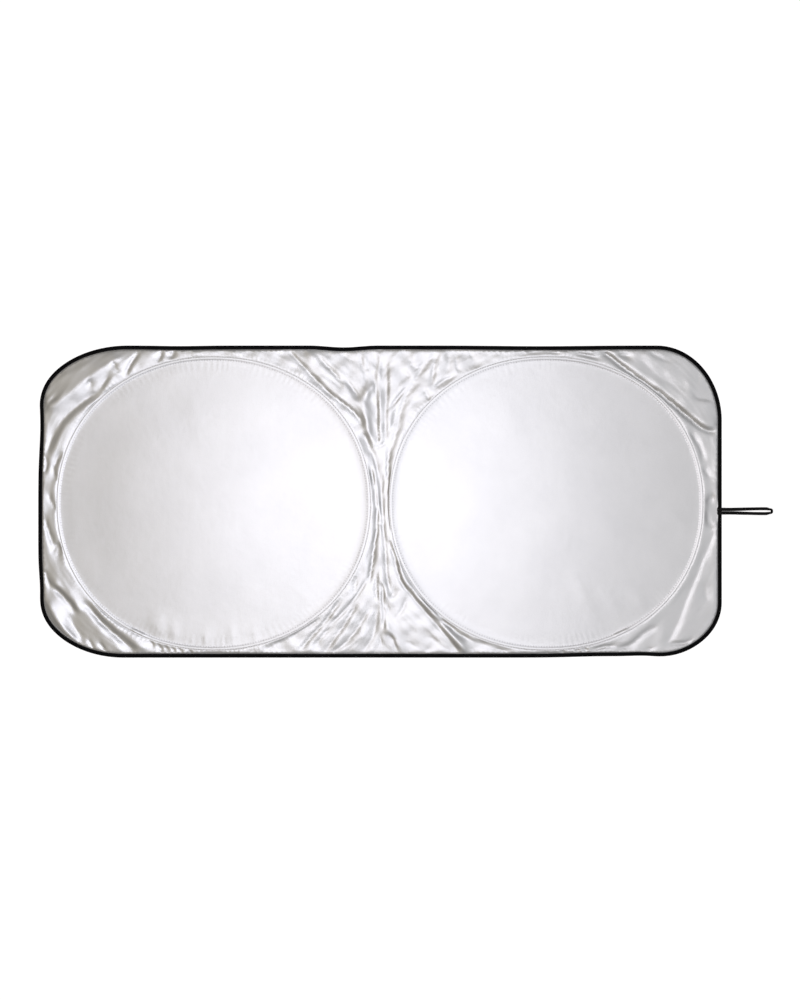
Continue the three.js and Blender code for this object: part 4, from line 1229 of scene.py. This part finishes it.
def make_binding(material):
    """The folded edge tape, a little puckered at its row of stitches."""
    points, normals, run = outline_points(TAPE_STEP)
    pucker = 0.5 + 0.5 * wander_along(run, 7 * MM, 0.3, 0.7)
    drift = wander_along(run, 45 * MM, 2.3, 0.7)
    rows = []
    for (x, y), (nx, ny), tuck, sway in zip(points, normals, pucker, drift):
        mouth = -TAPE_WIDTH + 0.35 * MM * sway
        stitch = mouth + STITCH_FROM_MOUTH
        top = TAPE_TOP + 0.15 * MM * sway
        # From the lower mouth in to the fold, back out to the upper mouth, and round the outside
        section = [
            (mouth, 0.0), (mouth, TAPE_THICKNESS), (-1.2 * MM, TAPE_THICKNESS),
            (-1.2 * MM, TAPE_TOP - TAPE_THICKNESS), (mouth + 0.4 * MM, TAPE_TOP - TAPE_THICKNESS),
            (mouth, TAPE_TOP - 0.3 * MM), (mouth + 0.3 * MM, top + 0.1 * MM * tuck),
            (stitch - 0.5 * MM, top + 0.3 * MM * tuck), (stitch, top - 0.25 * MM),
            (stitch + 0.5 * MM, top + 0.1 * MM * tuck), (stitch + 2 * MM, top + 0.3 * MM * tuck),
            (-1.4 * MM, top + 0.15 * MM * tuck), (-0.5 * MM, top - 0.2 * MM),
            (-0.1 * MM, TAPE_TOP - 0.9 * MM), (0.0, 1.1 * MM), (-0.1 * MM, 0.5 * MM),
            (-0.6 * MM, 0.05 * MM), (-1.3 * MM, 0.0),
        ]
        rows.append([(x + nx * out, y + ny * out, up) for out, up in section])
    vertices, faces = lofted(rows, True)
    return new_object("binding_tape", vertices, faces, [material])


def stitches(name, path, run, spacing, length, radius, material):
    """A row of thread stitches: path gives a place, a heading and the way up for a distance."""
    rings = STITCH_RINGS
    sides = STITCH_SIDES
    vertices, faces = [], []
    for n in range(int(run / spacing)):
        place, heading, up = path((n + 0.5) * spacing)
        level = np.cross(up, heading)
        base = len(vertices)
        for share, swell, lift in rings:
            middle = place + heading * share * length + up * lift * radius
            for k in range(sides):
                turn = 2 * math.pi * k / sides
                vertices.append(middle + swell * radius * (level * math.cos(turn) + up * math.sin(turn)))
        for i in range(len(rings) - 1):
            for k in range(sides):
                after = (k + 1) % sides
                faces.append((base + i * sides + k, base + i * sides + after,
                              base + (i + 1) * sides + after, base + (i + 1) * sides + k))
        faces.append(tuple(base + k for k in range(sides))[::-1])
        faces.append(tuple(base + (len(rings) - 1) * sides + k for k in range(sides)))
    return new_object(name, vertices, faces, [material])


def stitch_path(line, height, across=False):
    """What stitches() follows: the place, heading and way up at a distance along a line, and its length."""
    run = distances_along(line)

    def spot(distance):
        return np.array([np.interp(distance, run, line[:, 0]), np.interp(distance, run, line[:, 1])])

    def at(distance):
        x, y = spot(distance)
        heading = np.array([*(spot(distance + MM) - (x, y)), 0.0])
        heading /= np.linalg.norm(heading) + 1e-12
        return np.array([x, y, height(x)]), np.cross(heading, UPWARD) if across else heading, UPWARD
    return at, run[-1] - 2 * MM


def make_casing(side, material):
    """The tape sewn under the cloth, which holds the wire."""
    angles = 2 * math.pi * np.arange(CASING_STATIONS) / CASING_STATIONS
    points = seam_point(side, angles)
    normals = seam_normal(angles)
    upper = [(out * MM, up * MM) for out, up in TAPE_UNDER_CASING]
    lower = [(out, up - CASING_THICKNESS) for out, up in reversed(upper)]
    rows = [[(x + nx * out, y + ny * out, up) for out, up in upper + lower]
            for (x, y), (nx, ny) in zip(points, normals)]
    vertices, faces = lofted(rows, True)
    return new_object(f"{SIDE_WORDS[side]}_ring_casing", vertices, faces, [material])


def make_ring_stitches(side, materials):
    """The row beyond the wire, in line with the seam, and the row inside it, whose stitches cross it."""
    angles = np.linspace(0, 2 * math.pi, 3000)
    made = []
    for row, outset, across in (("outer", 0.0, False), ("inner", -INNER_ROW, True)):
        line = seam_point(side, angles) + seam_normal(angles) * outset
        path, run = stitch_path(line, lambda x: float(over_casing(outset, x, math.inf)) + 0.12 * MM, across)
        name = f"{SIDE_WORDS[side]}_{row}_stitches"
        made.append(stitches(name, path, run, *SEAM_STITCHES, materials[row]))
    return made


def make_binding_stitches(material):
    """The row of stitches that closes the edge tape."""
    points, normals, _ = outline_points(1 * MM)
    line = points - normals * (TAPE_WIDTH - STITCH_FROM_MOUTH)
    path, run = stitch_path(line, lambda x: TAPE_TOP - 0.1 * MM)
    return stitches("binding_stitches", path, run, *TAPE_STITCHES, material)


def rolled_reach(roll):
    """How wide the elastic looks from above when it leans over by this angle."""
    return ELASTIC_WIDTH * math.cos(roll) + ELASTIC_THICKNESS * math.sin(roll)


def elastic_stations():
    """One leg of the elastic as (out, across, up, roll), from its sewn tail to the turn at its tip."""
    sewn_up = TAPE_TOP + ELASTIC_CLEARANCE + ELASTIC_THICKNESS / 2
    root_across = (LOOP_ROOT_GAP + ELASTIC_WIDTH) / 2
    tip_across = (LOOP_TIP_WIDTH - rolled_reach(TIP_ROLL)) / 2
    tip_out = LOOP_LENGTH - rolled_reach(TIP_ROLL) / 2
    turn_out = tip_out - LOOP_TIP_TURN
    stations = [(out, root_across, sewn_up, 0.0) for out in np.linspace(-TAPE_WIDTH - LOOP_TAIL, 0, 8)]
    for out in np.linspace(0, turn_out, 56)[1:]:
        share = out / LOOP_LENGTH
        roll = LYING_ROLL * ramp(share, ROLL_FROM, ROLL_TO)
        roll += (TIP_ROLL - LYING_ROLL) * ramp(share, TIP_ROLL_FROM, turn_out / LOOP_LENGTH)
        opening = blend_between(LOOP_ROOT_GAP, LOOP_OPENING, ramp(share, OPEN_FROM, OPEN_TO))
        opened = (opening + rolled_reach(roll)) / 2
        across = blend_between(opened, tip_across, ramp(share, CLOSE_FROM, turn_out / LOOP_LENGTH))
        on_floor = rolled_reach(math.radians(90) - roll) / 2
        up = blend_between(sewn_up, on_floor, ramp(out, 0, LOOP_DESCENT))
        stations.append((out, across, up, roll))
    for degrees in (22.5, 45, 67.5, 90):
        turn = math.radians(degrees)
        stations.append((turn_out + LOOP_TIP_TURN * math.sin(turn),
                         tip_across - LOOP_TIP_TURN * (1 - math.cos(turn)),
                         rolled_reach(math.radians(90) - TIP_ROLL) / 2, TIP_ROLL))
    return stations


def elastic_section():
    """A ribbed strap's section, as (across, up) shares of half its width and thickness."""
    steps = 4 * ELASTIC_RIBS
    top = []
    for i in range(steps + 1):
        across = -1 + 2 * i / steps
        rib = abs(math.sin(math.pi * ELASTIC_RIBS * i / steps))
        edge = 1 - across ** 12
        top.append((across, (0.72 + 0.28 * rib) * edge if edge > 0 else 0.0))
    return top[::-1] + [(a, -t) for a, t in top[1:-1]]


def make_elastic(material):
    """The ribbed strap, along one leg to its tip and back along the other."""
    there = elastic_stations()
    back = [(out, -across, up, roll) for out, across, up, roll in reversed(there)]
    stations = there + back
    line = [Vector((HALF_LENGTH + out, LOOP_Y + across, up)) for out, across, up, _ in stations]
    section = elastic_section()
    rows = []
    for i, point in enumerate(line):
        run = (line[min(len(line) - 1, i + 1)] - line[max(0, i - 1)]).normalized()
        level = Vector((0, 0, 1)).cross(run).normalized()
        roll = stations[i][3]
        above = run.cross(level)
        wide = level * math.cos(roll) + above * math.sin(roll)
        thick = run.cross(wide)
        rows.append([point + wide * (w * ELASTIC_WIDTH / 2) + thick * (t * ELASTIC_THICKNESS / 2)
                     for w, t in section])
    vertices, faces = lofted(rows, False)
    return new_object("elastic_strap", vertices, faces, [material])


def make_bar_tacks(material):
    """Close zigzag stitches that hold the elastic's two tails on the tape."""
    rows = []
    for sign in (-1, 1):
        middle = LOOP_Y + sign * (LOOP_ROOT_GAP + ELASTIC_WIDTH) / 2
        rows += [(HALF_LENGTH + out, middle) for out in TACK_PLACES]
    count = int((ELASTIC_WIDTH - 1 * MM) / TACK_PITCH)
    top = TAPE_TOP + ELASTIC_CLEARANCE + ELASTIC_THICKNESS

    def at(distance):
        n = int(distance)
        x, y = rows[n // count]
        lean = 1 if n % 2 else -1
        heading = np.array([1.0, 0.35 * lean, 0.0])
        place = np.array([x, y + (n % count - count / 2 + 0.5) * TACK_PITCH, top])
        return place, heading / np.linalg.norm(heading), UPWARD
    return stitches("elastic_bar_tacks", at, len(rows) * count, 1, TACK_LENGTH, TACK_RADIUS, material)


def white_floor():
    """A pale floor. Only the camera sees its glow, which adds no light to the shade."""
    nodes = Nodes(bpy.data.materials.new("floor"))
    nodes.set(Roughness=0.9, Specular_IOR_Level=0.0, Base_Color=(0.9, 0.9, 0.9, 1), Emission_Color=WHITE)
    to_camera = nodes.node("ShaderNodeLightPath").outputs["Is Camera Ray"]
    nodes.feed(nodes.math("MULTIPLY", to_camera, FLOOR_GLOW), "Emission Strength")
    corners = [(x * FLOOR_REACH, y * FLOOR_REACH, 0) for x, y in ((-1, -1), (1, -1), (1, 1), (-1, 1))]
    floor = new_object("floor", corners, [(0, 1, 2, 3)], [nodes.owner], smooth=False)


def set_camera():
    """Straight above, framed as the photograph is."""
    data = bpy.data.cameras.new("camera")
    camera = bpy.data.objects.new("camera", data)
    bpy.context.scene.collection.objects.link(camera)
    middle = photo_place((PHOTO_WIDTH / 2, PHOTO_HEIGHT / 2))
    camera.location = (middle[0], middle[1], CAMERA_HEIGHT)
    data.sensor_fit = "VERTICAL"
    data.sensor_height = 36
    data.lens = data.sensor_height * CAMERA_HEIGHT / (PHOTO_HEIGHT * PIXEL)
    bpy.context.scene.camera = camera


def add_lamp():
    data = bpy.data.lights.new("softbox", "AREA")
    data.shape = "RECTANGLE"
    data.size, data.size_y = LAMP_SIZE
    data.energy = LAMP_POWER
    data.color = LAMP_COLOUR
    lamp = bpy.data.objects.new("softbox", data)
    lamp.location = LAMP_PLACE
    bpy.context.scene.collection.objects.link(lamp)


def set_lights():
    """A broad soft light overhead, and a room that is darker to the sides, warm left and cool right."""
    add_lamp()
    world = bpy.data.worlds.new("studio")
    bpy.context.scene.world = world
    nodes = Nodes(world, "Background")
    parts = nodes.node("ShaderNodeSeparateXYZ")
    nodes.link(nodes.node("ShaderNodeTexCoord").outputs["Generated"], parts.inputs[0])
    greys = [(place, (level, level, level)) for place, level in SKY_LEVELS]
    sky = nodes.colours(parts.outputs["Z"], greys)
    sideways = nodes.node("ShaderNodeMapRange", in_From_Min=SIDEWAYS_FROM, in_From_Max=SIDEWAYS_TO)
    nodes.link(parts.outputs["X"], sideways.inputs["Value"])
    room = nodes.mix("MULTIPLY", 1.0, sky, nodes.colours(sideways.outputs[0], SIDE_TINTS))
    to_camera = nodes.node("ShaderNodeLightPath").outputs["Is Camera Ray"]
    nodes.feed(nodes.mix("MIX", to_camera, room, WHITE), "Color")


def dress_nodes():
    """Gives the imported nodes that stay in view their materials."""
    steel = steel_material()
    for name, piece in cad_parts.items():
        if name.endswith("_wire") or name.endswith("_ferrule"):
            piece.data.materials.clear()
            piece.data.materials.append(steel)


def main():
    bpy.context.scene.view_settings.view_transform = "Standard"
    set_camera()
    set_lights()
    white_floor()
    dress_nodes()
    cloth = make_cloth([silver_material(), lining_material()])
    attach(cloth, "root")
    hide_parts("shade_cloth")
    tape = casing_material()
    for side, word in ((LEFT, "left"), (RIGHT, "right")):
        casing = make_casing(side, tape)
        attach(casing, "root")
        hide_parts(f"{word}_ring_sleeve")
    black = black_tape_material()
    binding = make_binding(black)
    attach(binding, "root")
    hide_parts("edge_binding")
    elastic = make_elastic(elastic_material())
    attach(elastic, "root")
    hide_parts("elastic_loop")
    seam_threads = {"outer": thread_material("silver_thread", (0.72, 0.72, 0.73)),
                    "inner": thread_material("grey_thread", (0.62, 0.61, 0.66))}
    black_thread = thread_material("black_thread", (0.02, 0.02, 0.022))
    for piece in make_ring_stitches(LEFT, seam_threads) + make_ring_stitches(RIGHT, seam_threads):
        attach(piece, "root")
    for piece, slot in ((make_binding_stitches(black_thread), "black_binding"),
                        (make_bar_tacks(black_thread), "black_elastic")):
        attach(piece, "root")


main()
